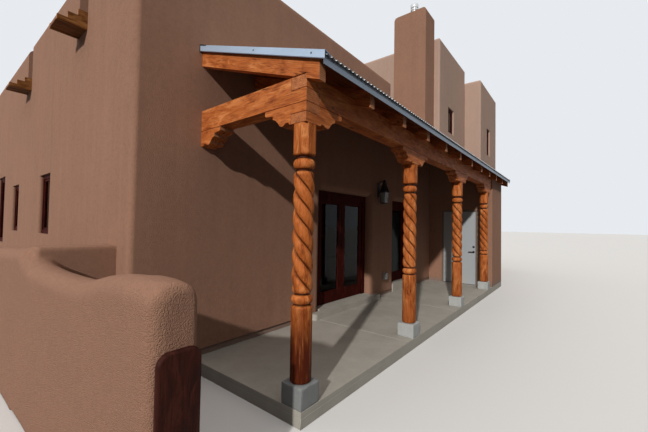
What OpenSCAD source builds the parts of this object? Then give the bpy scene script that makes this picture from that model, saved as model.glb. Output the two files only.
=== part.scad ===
// Adobe house with a flat-roofed near block, a low link, two taller rear blocks
// and a timber portal along the long east wall.
// X points out from the east wall, Y runs along it to the rear, Z is up.
// Places are measured from the corner of the south and east walls, at the portal's slab top.

/* [Walls] */
// Length of the south wall
south_len = 9700; // [9200:50:12000]
// Length of the near block along the east wall
near_len = 5850; // [5750:10:5950]
// Length of the low link behind the near block
link_len = 3490; // [3400:10:3900]
// Length of the rear block
rear_len = 3000; // [2600:50:3600]
// Length of the far block
far_len = 2880; // [2400:20:3600]
// Width of the link and of the rear blocks
rear_w = 5800; // [4800:50:7000]
// Step of the far block out past the east wall
far_step = 600; // [300:20:900]
// Thickness of the house walls
wall_t = 300; // [260:10:360]
// Radius of the rounded wall tops
cap_r = 110; // [40:5:120]
// Radius of the rounded door and window jambs
jamb_r = 120; // [60:5:140]
// Radius of the rounded outer corners
corner_r = 60; // [30:5:100]
// Height of the stucco's lower edge above the slab
drip_h = 88; // [60:2:110]
// Depth of the recessed foundation behind the stucco
drip_in = 30; // [10:2:40]

/* [Heights] */
// Parapet height of the near block
near_h = 5200; // [4900:20:5600]
// Parapet height of the link
link_h = 4600; // [4500:20:4780]
// Parapet height of the rear block
rear_h = 8000; // [7700:20:8600]
// Parapet height of the far block
far_h = 7500; // [7200:20:7700]
// Top of the main roof and upper floor deck
deck_z = 4300; // [4100:20:4400]
// Top of the roof deck of the rear block
rear_deck_z = 7400; // [7000:20:7500]
// Top of the roof deck of the far block
far_deck_z = 6900; // [6500:20:7000]
// Thickness of the decks
deck_t = 250; // [180:10:300]
// Top of the floor inside the house
floor_z = 100; // [40:5:110]

/* [Portal] */
// Width of the portal's slab
slab_w = 1755; // [1700:5:2000]
// Thickness of the slab down to the ground
slab_t = 150; // [100:5:300]
// Distance from the south wall to the near edge of the slab
slab_y = 750; // [600:10:1000]
// Spacing of the posts
post_pitch = 2410; // [2300:10:2440]
// Number of posts
post_n = 4; // [3:1:4]
// Side of a concrete base block
block_w = 250; // [230:5:300]
// Height of a concrete base block
block_h = 195; // [100:5:260]
// Underside of the portal's beams
beam_z = 2760; // [2700:10:2900]
// Depth of the beams
beam_h = 250; // [200:10:300]
// Width of the beams and corbels
beam_w = 190; // [150:5:210]
// Depth of a corbel
corbel_h = 190; // [170:5:220]
// Reach of a corbel from the middle of its post
corbel_reach = 460; // [420:10:520]

/* [Posts] */
// Diameter of the turned shaft
post_d = 200; // [180:5:215]
// Height of the plain foot shaft
foot_h = 715; // [600:5:800]
// Height of the round bead above and below the spiral
bead_h = 105; // [80:5:120]
// Height of the square head under the corbel
head_h = 300; // [250:5:340]
// Rise of one turn of the spiral
spiral_lead = 537; // [450:1:620]
// Depth of the spiral grooves
groove_d = 20; // [8:1:24]

/* [Portal roof] */
// Fall of the roof for each unit out from the wall
pitch = 0.355; // [0.3:0.005:0.4]
// Depth that a rafter is notched over the beam
notch = 53; // [30:1:60]
// Vertical depth of a rafter
rafter_h = 184; // [150:2:200]
// Width of a rafter
rafter_w = 90; // [70:5:110]
// Spacing of the rafters
rafter_pitch = 825; // [700:5:840]
// Distance from the south wall to the first rafter
rafter_y = 768; // [760:2:800]
// Reach of the rafters past the beam
rafter_out = 158; // [120:2:180]
// Reach of the metal past the rafter ends
eave_out = 87; // [60:1:120]
// Reach of the metal past the first and last rafter
rake_out = 40; // [30:1:60]
// Thickness of the roof boards, measured plumb
board_t = 26; // [18:1:32]
// Thickness of the metal roofing with its ribs
metal_t = 18; // [12:1:20]
// Thickness of the flashings
flash_t = 12; // [6:1:14]
// Height of the flashing on the rake
rake_h = 76; // [70:1:90]

/* [Store] */
// Distance from the south wall to the store's front wall
store_y = 8500; // [8350:10:8600]
// Length of the store
store_len = 1300; // [1290:5:1320]
// Thickness of the store's walls
store_t = 150; // [120:5:160]

/* [Doors] */
// Width of the French doors' opening
french_w = 1780; // [1700:10:1800]
// Middle of the French doors' opening
french_y = 4045; // [4000:5:4080]
// Width of the single glass door's opening
glass_w = 1010; // [960:5:1040]
// Distance from the near block's rear to the single glass door's opening
glass_in = 205; // [190:5:400]
// Width of the store door's opening
store_w = 1000; // [950:5:1020]
// Near edge of the store door's opening, from the east wall
store_x = 385; // [370:5:400]
// Top of the openings for the glass doors
head_z = 2280; // [2200:10:2350]
// Top of the opening for the store door
store_head_z = 2130; // [2080:5:2180]
// Top of the French doors' sill
french_sill = 120; // [110:5:140]
// Top of the glass door's sill
glass_sill = 200; // [150:5:220]
// Length of the step at the French doors
step_len = 2310; // [2200:10:2400]
// Reach of that step past the wall
step_out = 130; // [40:5:300]
// Height of that step
step_h = 100; // [60:5:105]
// Depth from the wall face to the glass doors' frames
reveal = 150; // [120:5:160]
// Width of the frame members of the glass doors
frame_w = 110; // [80:5:120]
// Width of the frame members of the store door
store_frame_w = 36; // [30:1:45]
// Thickness of the door leaves
leaf_t = 45; // [38:1:50]
// Gap round a door leaf
door_gap = 8; // [6:1:10]
// Width of the stiles of the glass doors
stile_w = 110; // [90:5:130]
// Height of the bottom rail of the glass doors
rail_h = 220; // [150:5:260]
// Thickness of a pane
pane_t = 8; // [4:1:12]

/* [Lantern] */
// Distance from the lantern to the glass door's opening
lamp_in = 790; // [400:5:900]
// Height of the lantern's lower edge
lamp_z = 2135; // [1900:5:2200]

/* [Windows] */
// Width of the members of a window's frame
win_frame_w = 60; // [40:5:80]
// Depth of a window's frame
win_frame_t = 70; // [50:5:90]
// Distance from the wall's face to a window's frame
win_in = 50; // [20:5:140]
// Radius of the stucco's edges round a window
win_edge_r = 40; // [10:5:80]

/* [Chimney] */
// Width of the chimney
chimney_w = 1100; // [900:10:1300]
// Depth of the chimney
chimney_d = 770; // [600:10:900]
// Distance from the east wall's face to the chimney
chimney_in = 190; // [60:10:280]
// Height of the chimney
chimney_h = 8700; // [8400:20:9000]
// Diameter of the flue
flue_d = 250; // [180:10:300]
// Height of the flue above the chimney
flue_h = 400; // [200:10:500]

/* [Roof spouts] */
// Width of a spout
spout_w = 385; // [300:5:450]
// Reach of a spout past the wall
spout_out = 330; // [250:5:400]
// Height of the underside of a spout
spout_z = 4230; // [4100:10:4240]
// Height of the tallest step of a spout's side
spout_h = 240; // [210:5:270]
// Thickness of a spout's boards
spout_t = 40; // [30:2:50]
// Distance between the spouts
spout_pitch = 3380; // [3000:20:3600]
// Distance from the corner to the first spout
spout_in = 1780; // [1500:20:2000]

/* [Patio wall] */
// Thickness of the patio wall
patio_t = 270; // [220:10:320]
// Height of the patio wall
patio_h = 1375; // [1250:5:1500]
// Distance from the south wall's face to the patio wall's outer face
patio_out = 680; // [600:10:800]
// Reach of the patio wall past the east wall
patio_east = 2060; // [1990:10:2300]
// Reach of the patio wall along the south wall
patio_west = 3750; // [3000:50:4500]
// Radius of the patio wall's rounded top edges
patio_r = 125; // [60:5:125]
// Radius of the patio wall's rounded end
patio_end_r = 75; // [40:5:100]
// Distance from the corner to the patio wall's arm
arm_x = 310; // [100:10:400]
// Depth of the scoop in the patio wall's top
scoop_d = 157; // [80:1:200]
// Shift of the patio wall away from the house for each unit west of its end
patio_splay = 0.035; // [0:0.005:0.06]
// Fall of its top for each unit west of its arm
patio_fall = 0.05; // [0:0.005:0.07]
// Height of the gate's jamb board
jamb_h = 1000; // [900:10:1150]
// Thickness of the gate's jamb board
jamb_t = 40; // [25:5:50]

/* [Hidden] */

// Colours
stucco = [0.60, 0.46, 0.38];
concrete = [0.62, 0.60, 0.57];
timber = [0.72, 0.40, 0.18];
dark_wood = [0.25, 0.10, 0.08];
galvanized = [0.62, 0.66, 0.70];
white_paint = [0.88, 0.88, 0.87];
pane_blue = [0.35, 0.42, 0.45, 0.5];
iron = [0.08, 0.07, 0.07];
deck_grey = [0.45, 0.42, 0.40];

// Places along the house
rear_y = near_len + link_len;
far_y = rear_y + rear_len;
end_y = far_y + far_len;
far_w = rear_w + far_step;

glass_y = near_len + glass_in;

// Places in the portal
post_x = slab_w - block_w / 2;
post_y = slab_y + block_w / 2;
beam_top = beam_z + beam_h;
beam_x = post_x + beam_w / 2;
corbel_z = beam_z - corbel_h;
rafter_x = beam_x + rafter_out;
eave_x = rafter_x + eave_out;
rake_y = rafter_y - rake_out;
rafter_n = floor((store_y + store_len + 60 - rafter_y) / rafter_pitch) + 1;
rake_end = rafter_y + (rafter_n - 1) * rafter_pitch + rafter_w + rake_out;
store_end = store_y + store_len;
seat_gap = 0.3;
function rafter_low(x) = beam_top - notch + pitch * (beam_x - x);
function rafter_top(x) = rafter_low(x) + rafter_h;
function board_low(x) = rafter_top(x) + seat_gap;
function board_top(x) = board_low(x) + board_t;
function metal_low(x) = board_top(x) + seat_gap;

// Scoop in the patio wall's top: share of its length from the east, share of its depth
scoop_east = 135;
scoop_len = 2430;
scoop = [[0, 0], [0.04, 0.05], [0.08, 0.13], [0.13, 0.23], [0.18, 0.33], [0.22, 0.42], [0.26, 0.55],
    [0.3, 0.7], [0.35, 0.87], [0.4, 0.97], [0.5, 1], [0.68, 1], [0.77, 0.96], [0.84, 0.9],
    [0.89, 0.8], [0.93, 0.62], [0.97, 0.3], [1, 0]];

// Door leaves, with the frame's inner edge flush with the leaf's inner face
stop_t = 14;
leaf_in = 20;
frame_t = leaf_in + leaf_t;
hinge_r = 9;
pin_r = 5;
pin_gap = 0.3;
knuckle_h = 34;
plate_t = 3;
plate_w = 34;
hinge_inset = 200;

// The model stands on the ground with its origin under the middle of its box
box_east = max(patio_east + jamb_t, eave_x);
mid_x = (box_east - south_len) / 2;
box_south = -patio_out - patio_splay * (patio_east + patio_west - patio_end_r);
mid_y = (end_y + box_south) / 2;
module placed() { translate([-mid_x, -mid_y, slab_t]) children(); }

// South wall windows: distance west of the corner to the near edge, sill, width, height
south_windows = [[3290, 1400, 700, 1030], [5880, 1390, 700, 1010], [7650, 1060, 1000, 1660]];
// West wall windows: distance behind the south wall, sill, width, height
west_windows = [[1300, 1400, 700, 1030], [3900, 1400, 700, 1030]];
// Upper windows of the rear and far blocks: distance behind the block's start, sill, width, height
rear_window = [930, 5000, 600, 900];
far_window = [1080, 4680, 520, 1120];

// Quarter arc of points round a centre
arc_n = 5;
function arc(cx, cy, r, a0, a1) =
    [for (i = [0:arc_n]) let (a = a0 + (a1 - a0) * i / arc_n) [cx + r * cos(a), cy + r * sin(a)]];

// Section of a wall from z0 to z1 with a rounded top, x running from 0 at its face into the wall
module cap_section(t, z0, z1) {
    polygon(concat([[0, z0]], arc(cap_r, z1 - cap_r, cap_r, 180, 90),
        arc(t - cap_r, z1 - cap_r, cap_r, 90, 0), [[t, z0]]));
}

// Wall facing east or west with its outer face at x, from y0 to y1, and from z0 up to a rounded top
module wall_y(x, y0, y1, z0, z1, east = true) {
    translate([x, y1, 0]) rotate([90, 0, 0]) linear_extrude(y1 - y0)
        mirror([east ? 1 : 0, 0]) cap_section(wall_t, z0, z1);
}

// Wall facing south or north with its outer face at y, from x0 to x1
module wall_x(y, x0, x1, z0, z1, north = false) {
    translate([x0, y, 0]) rotate([90, 0, 90]) linear_extrude(x1 - x0)
        mirror([north ? 1 : 0, 0]) cap_section(wall_t, z0, z1);
}

// Corner of two walls, round over its outer edges, with its outer edge at x and y; dx and dy lead in
module corner(x, y, dx, dy, z0, z1) {
    half = concat([[0, z0]], arc(cap_r, z1 - cap_r, cap_r, 180, 90), [[wall_t, z1], [wall_t, z0]]);
    translate([x, y, 0]) mirror([dx < 0 ? 1 : 0, 0, 0]) mirror([0, dy < 0 ? 1 : 0, 0]) intersection() {
        rotate([90, 0, 90]) linear_extrude(wall_t) polygon(half);
        translate([0, wall_t, 0]) rotate([90, 0, 0]) linear_extrude(wall_t) polygon(half);
        translate([0, 0, z0 - 1]) linear_extrude(z1 - z0 + 2) union() {
            translate([corner_r, corner_r]) circle(corner_r, $fn = 32);
            translate([corner_r, 0]) square([wall_t - corner_r, wall_t]);
            translate([0, corner_r]) square([wall_t, wall_t - corner_r]);
        }
    }
}

// Box from one corner to the other
module block(x, y, z) {
    translate([x[0], y[0], z[0]]) cube([x[1] - x[0], y[1] - y[0], z[1] - z[0]]);
}

// Upright prism of a section in X and Z, from y0 to y1
module slab_y(points, y0, y1) {
    translate([0, y1, 0]) rotate([90, 0, 0]) linear_extrude(y1 - y0) polygon(points);
}

// Corner to take off an edge so that it is left round, with the solid at negative X and Y
module round_off(r) {
    difference() {
        translate([-r, -r]) square(r + 1);
        translate([-r, -r]) circle(r, $fn = 48);
    }
}

// Window list: wall, turn, x, y, sill, width, height, seen from outside with its left edge at x and y
windows = concat(
    [for (w = south_windows) ["south_wall", 0, -w[0] - w[2], 0, w[1], w[2], w[3]]],
    [for (w = west_windows) ["west_wall", -90, -south_len, w[0] + w[2], w[1], w[2], w[3]]],
    [["rear_east_wall", 90, 0, rear_y + rear_window[0],
        rear_window[1], rear_window[2], rear_window[3]],
     ["far_walls", 90, far_step, far_y + far_window[0],
        far_window[1], far_window[2], far_window[3]],
     ["rear_west_wall", -90, -rear_w, rear_y + rear_window[0] + rear_window[2],
        rear_window[1], rear_window[2], rear_window[3]],
     ["rear_west_wall", -90, -rear_w, far_y + far_window[0] + far_window[2],
        far_window[1], far_window[2], far_window[3]],
     ["far_walls", 180, -rear_w / 3, end_y,
        far_window[1], far_window[2], far_window[3]]]);

// Moves a piece drawn from the left edge of an opening, X to the right and Y into the wall
module on_wall(turn, x, y) { translate([x, y, 0]) rotate(turn) children(); }

// Opening through a wall, with round edges on its jambs
module opening_cut(w, z0, z1) {
    translate([0, 0, z0]) linear_extrude(z1 - z0) difference() {
        translate([-win_edge_r, -1]) square([w + 2 * win_edge_r, wall_t + 2]);
        for (x = [-win_edge_r, w + win_edge_r]) translate([x, win_edge_r]) circle(win_edge_r, $fn = 32);
        for (x = [-win_edge_r - 1, w]) translate([x, win_edge_r]) square([win_edge_r + 1, wall_t]);
    }
}

// Cuts for the windows of one wall
module window_cuts(wall) {
    for (w = windows) if (w[0] == wall) on_wall(w[1], w[2], w[3]) opening_cut(w[5], w[4], w[4] + w[6]);
}

// Round jamb on the end of an east wall piece, at y, beside a doorway
module door_jamb(y, head, solid_before) {
    translate([0, y, drip_h]) mirror([0, solid_before ? 0 : 1, 0])
        linear_extrude(head - drip_h) round_off(jamb_r);
}

// Recess of the foundation under the east wall's stucco
module drip(y0, y1) { block([-drip_in, 1], [y0, y1], [-slab_t - 1, drip_h]); }

module portal_slab() {
    color(concrete) block([-drip_in, slab_w], [slab_y, store_end], [-slab_t, 0]);
}

module house_floor() {
    color(concrete) floor_plan(-slab_t, floor_z);
}

// Plan of the rooms between the outer walls
module floor_plan(z0, z1) {
    block([-south_len + wall_t, -wall_t], [wall_t, near_len - wall_t], [z0, z1]);
    block([-rear_w + wall_t, -wall_t], [near_len - wall_t - 1, end_y - wall_t], [z0, z1]);
    block([-wall_t - 1, far_step - wall_t], [far_y + wall_t, end_y - wall_t], [z0, z1]);
}

// Roof deck over the near block, the link and under the upper rooms, and the two upper roof decks
module decks() {
    color(deck_grey) {
        difference() {
            floor_plan(deck_z - deck_t, deck_z);
            block([-chimney_in - chimney_w, -wall_t + 1], [rear_y - chimney_d, rear_y],
                [deck_z - deck_t - 1, deck_z + 1]);
        }
        block([-rear_w + wall_t, -wall_t], [rear_y + wall_t, far_y - wall_t],
            [rear_deck_z - deck_t, rear_deck_z]);
        block([-rear_w + wall_t, -wall_t], [far_y, end_y - wall_t],
            [far_deck_z - deck_t, far_deck_z]);
        block([-wall_t - 1, far_step - wall_t], [far_y + wall_t, end_y - wall_t],
            [far_deck_z - deck_t, far_deck_z]);
    }
}

module east_wall_near() {
    color(stucco) difference() {
        wall_y(0, wall_t, french_y - french_w / 2, -slab_t, near_h);
        drip(slab_y, french_y);
        door_jamb(french_y - french_w / 2, head_z, true);
    }
}

module east_wall_pier() {
    color(stucco) difference() {
        union() {
            wall_y(0, french_y + french_w / 2, near_len - wall_t, -slab_t, near_h);
            corner(0, near_len, -1, -1, deck_z, near_h);
            wall_y(0, near_len - wall_t - 1, glass_y, -slab_t, link_h);
        }
        drip(french_y, glass_y + 1);
        door_jamb(french_y + french_w / 2, head_z, false);
        door_jamb(glass_y, head_z, true);
    }
}

module east_wall_far() {
    color(stucco) difference() {
        wall_y(0, glass_y + glass_w, rear_y, -slab_t, link_h);
        drip(glass_y, store_end);
        door_jamb(glass_y + glass_w, head_z, false);
    }
}

module door_lintel_walls() {
    color(stucco) difference() {
        union() {
            wall_y(0, french_y - french_w / 2, french_y + french_w / 2, head_z, near_h);
            wall_y(0, glass_y, glass_y + glass_w, head_z, link_h);
        }
        translate([0, 0, head_z]) rotate([90, 0, 0]) mirror([0, 1, 0])
            translate([0, 0, -glass_y - glass_w - 1]) linear_extrude(glass_y + glass_w) round_off(jamb_r);
    }
    color(stucco) store_cross_wall(store_x, store_x + store_w, store_y, store_head_z);
}

module south_wall() {
    color(stucco) difference() {
        union() {
            wall_x(0, -south_len + wall_t, -wall_t, -slab_t, near_h);
            corner(0, 0, -1, 1, -slab_t, near_h);
            corner(-south_len, 0, 1, 1, -slab_t, near_h);
        }
        window_cuts("south_wall");
        for (x = spout_x) block([x - spout_w / 2, x + spout_w / 2], [-1, wall_t + 1],
            [deck_z, near_h + 1]);
    }
}

module west_wall() {
    color(stucco) difference() {
        wall_y(-south_len, wall_t, near_len - wall_t, -slab_t, near_h, false);
        window_cuts("west_wall");
    }
}

module north_wall() {
    color(stucco) {
        corner(-south_len, near_len, 1, -1, -slab_t, near_h);
        wall_x(near_len, -south_len + wall_t, -rear_w + wall_t, -slab_t, near_h, true);
        wall_x(near_len, -rear_w + wall_t - 1, -wall_t, deck_z, near_h, true);
    }
}

module rear_east_wall() {
    color(stucco) difference() {
        union() {
            corner(0, rear_y, -1, 1, -slab_t, rear_h);
            wall_y(0, rear_y + wall_t, far_y - wall_t, -slab_t, rear_h);
            block([-wall_t, 0], [far_y - wall_t, far_y], [-slab_t, far_h - cap_r]);
            corner(0, far_y, -1, -1, far_h - cap_r - 1, rear_h);
        }
        drip(rear_y - 1, store_end);
        window_cuts("rear_east_wall");
    }
}

// South wall of the rear block over the link's roof, and its north wall over the far block's roof
module rear_south_wall() {
    color(stucco) {
        wall_x(rear_y, -rear_w + wall_t, -wall_t, deck_z, rear_h);
        wall_x(far_y, -rear_w + wall_t, -wall_t, far_deck_z - deck_t, rear_h, true);
    }
}

module rear_west_wall() {
    color(stucco) difference() {
        union() {
            wall_y(-rear_w, near_len, rear_y, -slab_t, link_h, false);
            corner(-rear_w, rear_y, 1, 1, link_h - cap_r, rear_h);
            wall_y(-rear_w, rear_y + wall_t, far_y - wall_t, -slab_t, rear_h, false);
            block([-rear_w, -rear_w + wall_t], [rear_y - 1, rear_y + wall_t], [-slab_t, link_h - cap_r]);
            block([-rear_w, -rear_w + wall_t], [far_y - wall_t, far_y], [-slab_t, far_h - cap_r]);
            corner(-rear_w, far_y, 1, -1, far_h - cap_r - 1, rear_h);
            wall_y(-rear_w, far_y - 1, end_y - wall_t, -slab_t, far_h, false);
            corner(-rear_w, end_y, 1, -1, -slab_t, far_h);
        }
        window_cuts("rear_west_wall");
    }
}

// East, south and north walls of the far block
module far_walls() {
    color(stucco) difference() {
        union() {
            wall_x(far_y, -wall_t, far_step - wall_t, -slab_t, far_h);
            corner(far_step, far_y, -1, 1, -slab_t, far_h);
            wall_y(far_step, far_y + wall_t, end_y - wall_t, -slab_t, far_h);
            corner(far_step, end_y, -1, -1, -slab_t, far_h);
            wall_x(end_y, -rear_w + wall_t, far_step - wall_t, -slab_t, far_h, true);
        }
        window_cuts("far_walls");
    }
}

// Stack that stands on the floor, and widens over the link's parapet
module chimney() {
    x0 = -chimney_in - chimney_w;
    color(stucco) {
        block([x0, -wall_t], [rear_y - chimney_d, rear_y], [floor_z, link_h + 1]);
        translate([x0, rear_y, 0]) rotate([90, 0, 0]) linear_extrude(chimney_d)
            polygon(concat([[0, link_h]], arc(cap_r, chimney_h - cap_r, cap_r, 180, 90),
                arc(chimney_w - cap_r, chimney_h - cap_r, cap_r, 90, 0), [[chimney_w, link_h]]));
    }
}

module chimney_flue() {
    color(galvanized) translate([-chimney_in - chimney_w / 2, rear_y - chimney_d / 2, chimney_h]) {
        cylinder(h = flue_h, d = flue_d, $fn = 48);
        translate([0, 0, flue_h]) cylinder(h = flue_d / 3, d1 = flue_d * 1.6, d2 = flue_d / 4, $fn = 48);
    }
}

// Middle of each roof spout along the south wall
spout_x = [-spout_in, -spout_in - spout_pitch];

// Wooden trough: two side boards that step down away from the wall, and a floor board between them
module roof_spouts() {
    tread = spout_out / 3;
    recess = 8;
    color(timber) for (x = spout_x) translate([x - spout_w / 2, 0, spout_z]) {
        for (side = [0, spout_w - spout_t]) translate([side + spout_t, 0, 0]) rotate([90, 0, -90])
            linear_extrude(spout_t) polygon([[0, 0], [spout_out, 0], [spout_out, spout_h * 0.27],
                [2 * tread, spout_h * 0.27], [2 * tread, spout_h * 0.63], [tread, spout_h * 0.63],
                [tread, spout_h], [0, spout_h]]);
        translate([spout_t, -spout_out, recess]) cube([spout_w - 2 * spout_t, spout_out, spout_t]);
    }
}

// Wall of the store across the portal from x0 to x1, up to the roof boards
module store_cross_wall(x0, x1, y0, z0 = 0) {
    slab_y([[x0, z0], [x1, z0], [x1, rafter_top(x1)], [x0, rafter_top(x0)]], y0, y0 + store_t);
}

module store_walls() {
    color(stucco) {
        store_cross_wall(0, store_x, store_y);
        difference() {
            union() {
                store_cross_wall(store_x + store_w, slab_w, store_y);
                store_cross_wall(0, slab_w, store_end - store_t);
                slab_y([[slab_w - store_t, 0], [slab_w, 0], [slab_w, rafter_top(slab_w)],
                    [slab_w - store_t, rafter_top(slab_w - store_t)]], store_y, store_end);
            }
            rafter_row();
        }
    }
}

module base_blocks() {
    color(concrete) for (i = [0:post_n - 1])
        translate([post_x - block_w / 2, post_y + i * post_pitch - block_w / 2, 0])
            cube([block_w, block_w, block_h]);
}

// Radius of the spiral shaft at an angle, with three grooves
function rope_r(a) = post_d / 2 - groove_d * pow(abs(cos(1.5 * a)), 12);

// Bead between two grooves, its height from z
module bead(z) {
    neck = post_d / 2 - 0.8 * groove_d;
    steps = 8;
    translate([0, 0, z]) rotate_extrude($fn = 48) polygon(concat([[0, 0], [neck, 0]],
        [for (i = [0:steps]) let (t = i / steps)
            [neck + 0.3 * groove_d + groove_d * sin(180 * t), bead_h * (0.1 + 0.8 * t)]],
        [[neck, bead_h], [0, bead_h]]));
}

// Turned post on its base block: foot, bead, three-start spiral, bead and chamfered head
module post() {
    spiral_z = foot_h + bead_h;
    spiral_h = corbel_z - block_h - spiral_z - bead_h - head_h;
    head_w = beam_w;
    chamfer = head_w / 7;
    foot_r = post_d / 2;
    rotate_extrude($fn = 48) polygon([[0, 0], [foot_r - 22, 0], [foot_r - 6, 10], [foot_r - 2, 26],
        [foot_r, foot_h - 20], [foot_r - 8, foot_h], [0, foot_h]]);
    bead(foot_h);
    translate([0, 0, spiral_z]) linear_extrude(height = spiral_h, slices = 32,
        twist = 360 * spiral_h / spiral_lead)
        polygon([for (i = [0:23]) let (a = i * 15) [rope_r(a) * cos(a), rope_r(a) * sin(a)]]);
    bead(spiral_z + spiral_h);
    translate([0, 0, spiral_z + spiral_h + bead_h]) linear_extrude(head_h) polygon([
        for (s = [[1, 1], [-1, 1], [-1, -1], [1, -1]], k = [0, 1])
            let (first = (s[0] * s[1] > 0) == (k == 0))
            [s[0] * (head_w / 2 - (first ? 0 : chamfer)), s[1] * (head_w / 2 - (first ? chamfer : 0))]]);
}

module portal_posts() {
    color(timber) for (i = [0:post_n - 1]) translate([post_x, post_y + i * post_pitch, block_h]) post();
}

// Outline of one arm of a corbel from the middle of its post: seat, lobe, cove and nose
lobe_r = 52;
lobe_at = corbel_reach * 0.47;
nose_at = corbel_reach * 0.75;
nose_low = corbel_h * 0.64;
function corbel_arm() = concat([[0, 0], [beam_w / 2 + 20, 0], [beam_w / 2 + 34, 24]],
    [for (i = [0:6]) let (a = 215 + i * 125 / 6) [lobe_at + lobe_r * cos(a), lobe_r + lobe_r * sin(a)]],
    [for (i = [1:4]) let (t = i / 4)
        [lobe_at + lobe_r * 0.94 + (nose_at - lobe_at - lobe_r * 0.94) * t,
            lobe_r * 0.66 + lobe_r * sin(90 * t)]],
    [[nose_at, nose_low], [corbel_reach - 12, nose_low + 12], [corbel_reach, nose_low + 26],
     [corbel_reach, corbel_h], [0, corbel_h]]);

module corbel() {
    translate([0, beam_w / 2, 0]) rotate([90, 0, 0]) linear_extrude(beam_w) {
        polygon(corbel_arm());
        mirror([1, 0]) polygon(corbel_arm());
    }
}

// One corbel along the beam on each post, one across on the corner post, and a half one on the wall
module corbels() {
    wall_in = 65;
    color(timber) {
        for (i = [0:post_n - 1]) translate([post_x, post_y + i * post_pitch, corbel_z]) intersection() {
            union() {
                rotate(90) corbel();
                if (i == 0) corbel();
            }
            block([-corbel_reach - 1, i == 0 ? beam_w / 2 : corbel_reach + 1],
                [i == 0 ? -beam_w / 2 : -corbel_reach - 1,
                    min(corbel_reach + 1, store_y - post_y - i * post_pitch)], [0, corbel_h]);
        }
        translate([0, post_y, corbel_z]) intersection() {
            translate([-wall_in, 0, 0]) corbel();
            block([0, corbel_reach], [-beam_w / 2, beam_w / 2], [0, corbel_h]);
        }
    }
}

// End beam and long beam, halved over each other at the corner, the long one above
module portal_beams() {
    color(timber) {
        difference() {
            block([0, beam_x], [post_y - beam_w / 2, post_y + beam_w / 2], [beam_z, beam_top]);
            block([beam_x - beam_w, beam_x + 1], [post_y - beam_w / 2 - 1, post_y + beam_w / 2 + 1],
                [beam_z + beam_h / 2, beam_top + 1]);
        }
        difference() {
            block([beam_x - beam_w, beam_x], [post_y - beam_w / 2, store_y], [beam_z, beam_top]);
            block([beam_x - beam_w - 1, beam_x + 1], [post_y - beam_w / 2 - 1, post_y + beam_w / 2],
                [beam_z - 1, beam_z + beam_h / 2]);
        }
    }
}

// Rafter with a birdsmouth that seats on the beam
module rafter_row() {
    seat_x = beam_x - notch / pitch;
    for (i = [0:rafter_n - 1]) let (y = rafter_y + i * rafter_pitch)
        slab_y([[0, rafter_low(0)], [seat_x, beam_top], [beam_x, beam_top], [beam_x, rafter_low(beam_x)],
            [rafter_x, rafter_low(rafter_x)], [rafter_x, rafter_top(rafter_x)], [0, rafter_top(0)]],
            y, y + rafter_w);
}

module rafters() { color(timber) rafter_row(); }

module roof_boards() {
    x1 = eave_x - flash_t;
    color(timber) slab_y([[0, board_low(0)], [x1, board_low(x1)], [x1, board_top(x1)], [0, board_top(0)]],
        rake_y + flash_t, rake_end - flash_t);
}

module metal_roof() {
    color(galvanized) slab_y([[0, metal_low(0)], [eave_x, metal_low(eave_x)],
        [eave_x, metal_low(eave_x) + metal_t], [0, metal_low(0) + metal_t]],
        rake_y + flash_t, rake_end - flash_t);
}

// Rake boards at both ends and the strip along the eave, in sheet metal
module roof_flashing() {
    eave_h = 80;
    lap = 10;
    color(galvanized) {
        for (y = [rake_y, rake_end - flash_t])
            slab_y([[0, rafter_top(0) - lap], [eave_x, rafter_top(eave_x) - lap],
                [eave_x, rafter_top(eave_x) - lap + rake_h], [0, rafter_top(0) - lap + rake_h]],
                y, y + flash_t);
        slab_y([[eave_x - flash_t, board_top(eave_x) - eave_h], [eave_x, board_top(eave_x) - eave_h],
            [eave_x, board_top(eave_x)], [eave_x - flash_t, board_top(eave_x)]], rake_y, rake_end);
    }
}

module door_sills() {
    color(concrete) {
        block([-wall_t, 0], [french_y - french_w / 2, french_y + french_w / 2], [0, french_sill]);
        block([-wall_t, 0], [glass_y, glass_y + glass_w], [0, glass_sill]);
        block([-wall_t, -drip_in], [french_y - french_w / 2, french_y + french_w / 2], [-slab_t, 1]);
        block([-wall_t, -drip_in], [glass_y, glass_y + glass_w], [-slab_t, 1]);
        translate([0, french_y - step_len / 2, 0]) linear_extrude(step_h) union() {
            square([step_out / 2, step_len]);
            translate([0, step_out / 2]) square([step_out, step_len - step_out]);
            for (y = [step_out / 2, step_len - step_out / 2])
                translate([step_out / 2, y]) circle(step_out / 2, $fn = 32);
        }
    }
}

// Frame of a doorway w wide, with a stop on its outer side, from its outer face inwards
module door_frame(w, z0, z1, m) {
    lap = m + door_gap + 10;
    difference() {
        translate([0, 0, z0]) cube([w, frame_t, z1 - z0]);
        translate([lap, -1, z0 - 1]) cube([w - 2 * lap, frame_t + 2, z1 - z0 + 1 - lap]);
        translate([m, stop_t, z0 - 1]) cube([w - 2 * m, frame_t, z1 - z0 + 1 - m]);
    }
}

// Leaf hung at its left edge on knuckles, with its left edge at x = 0
module hung_leaf(w, z0, z1, glazed) {
    difference() {
        union() {
            translate([0, leaf_in, z0]) cube([w, leaf_t, z1 - z0]);
            for (z = hinge_heights(z0, z1)) translate([0, 0, z + knuckle_h + 0.5]) {
                translate([-door_gap / 2, frame_t + hinge_r, 0])
                    cylinder(h = knuckle_h - 1, r = hinge_r, $fn = 32);
                translate([-door_gap / 2, frame_t, 0]) cube([plate_w, plate_t, knuckle_h - 1]);
            }
        }
        for (z = hinge_heights(z0, z1)) translate([-door_gap / 2, frame_t + hinge_r, z - 1])
            cylinder(h = 4 * knuckle_h, r = pin_r + pin_gap, $fn = 32);
        if (glazed) translate([stile_w, leaf_in - 1, z0 + rail_h])
            cube([w - 2 * stile_w, leaf_t + 2, z1 - z0 - rail_h - stile_w]);
    }
}

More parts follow.
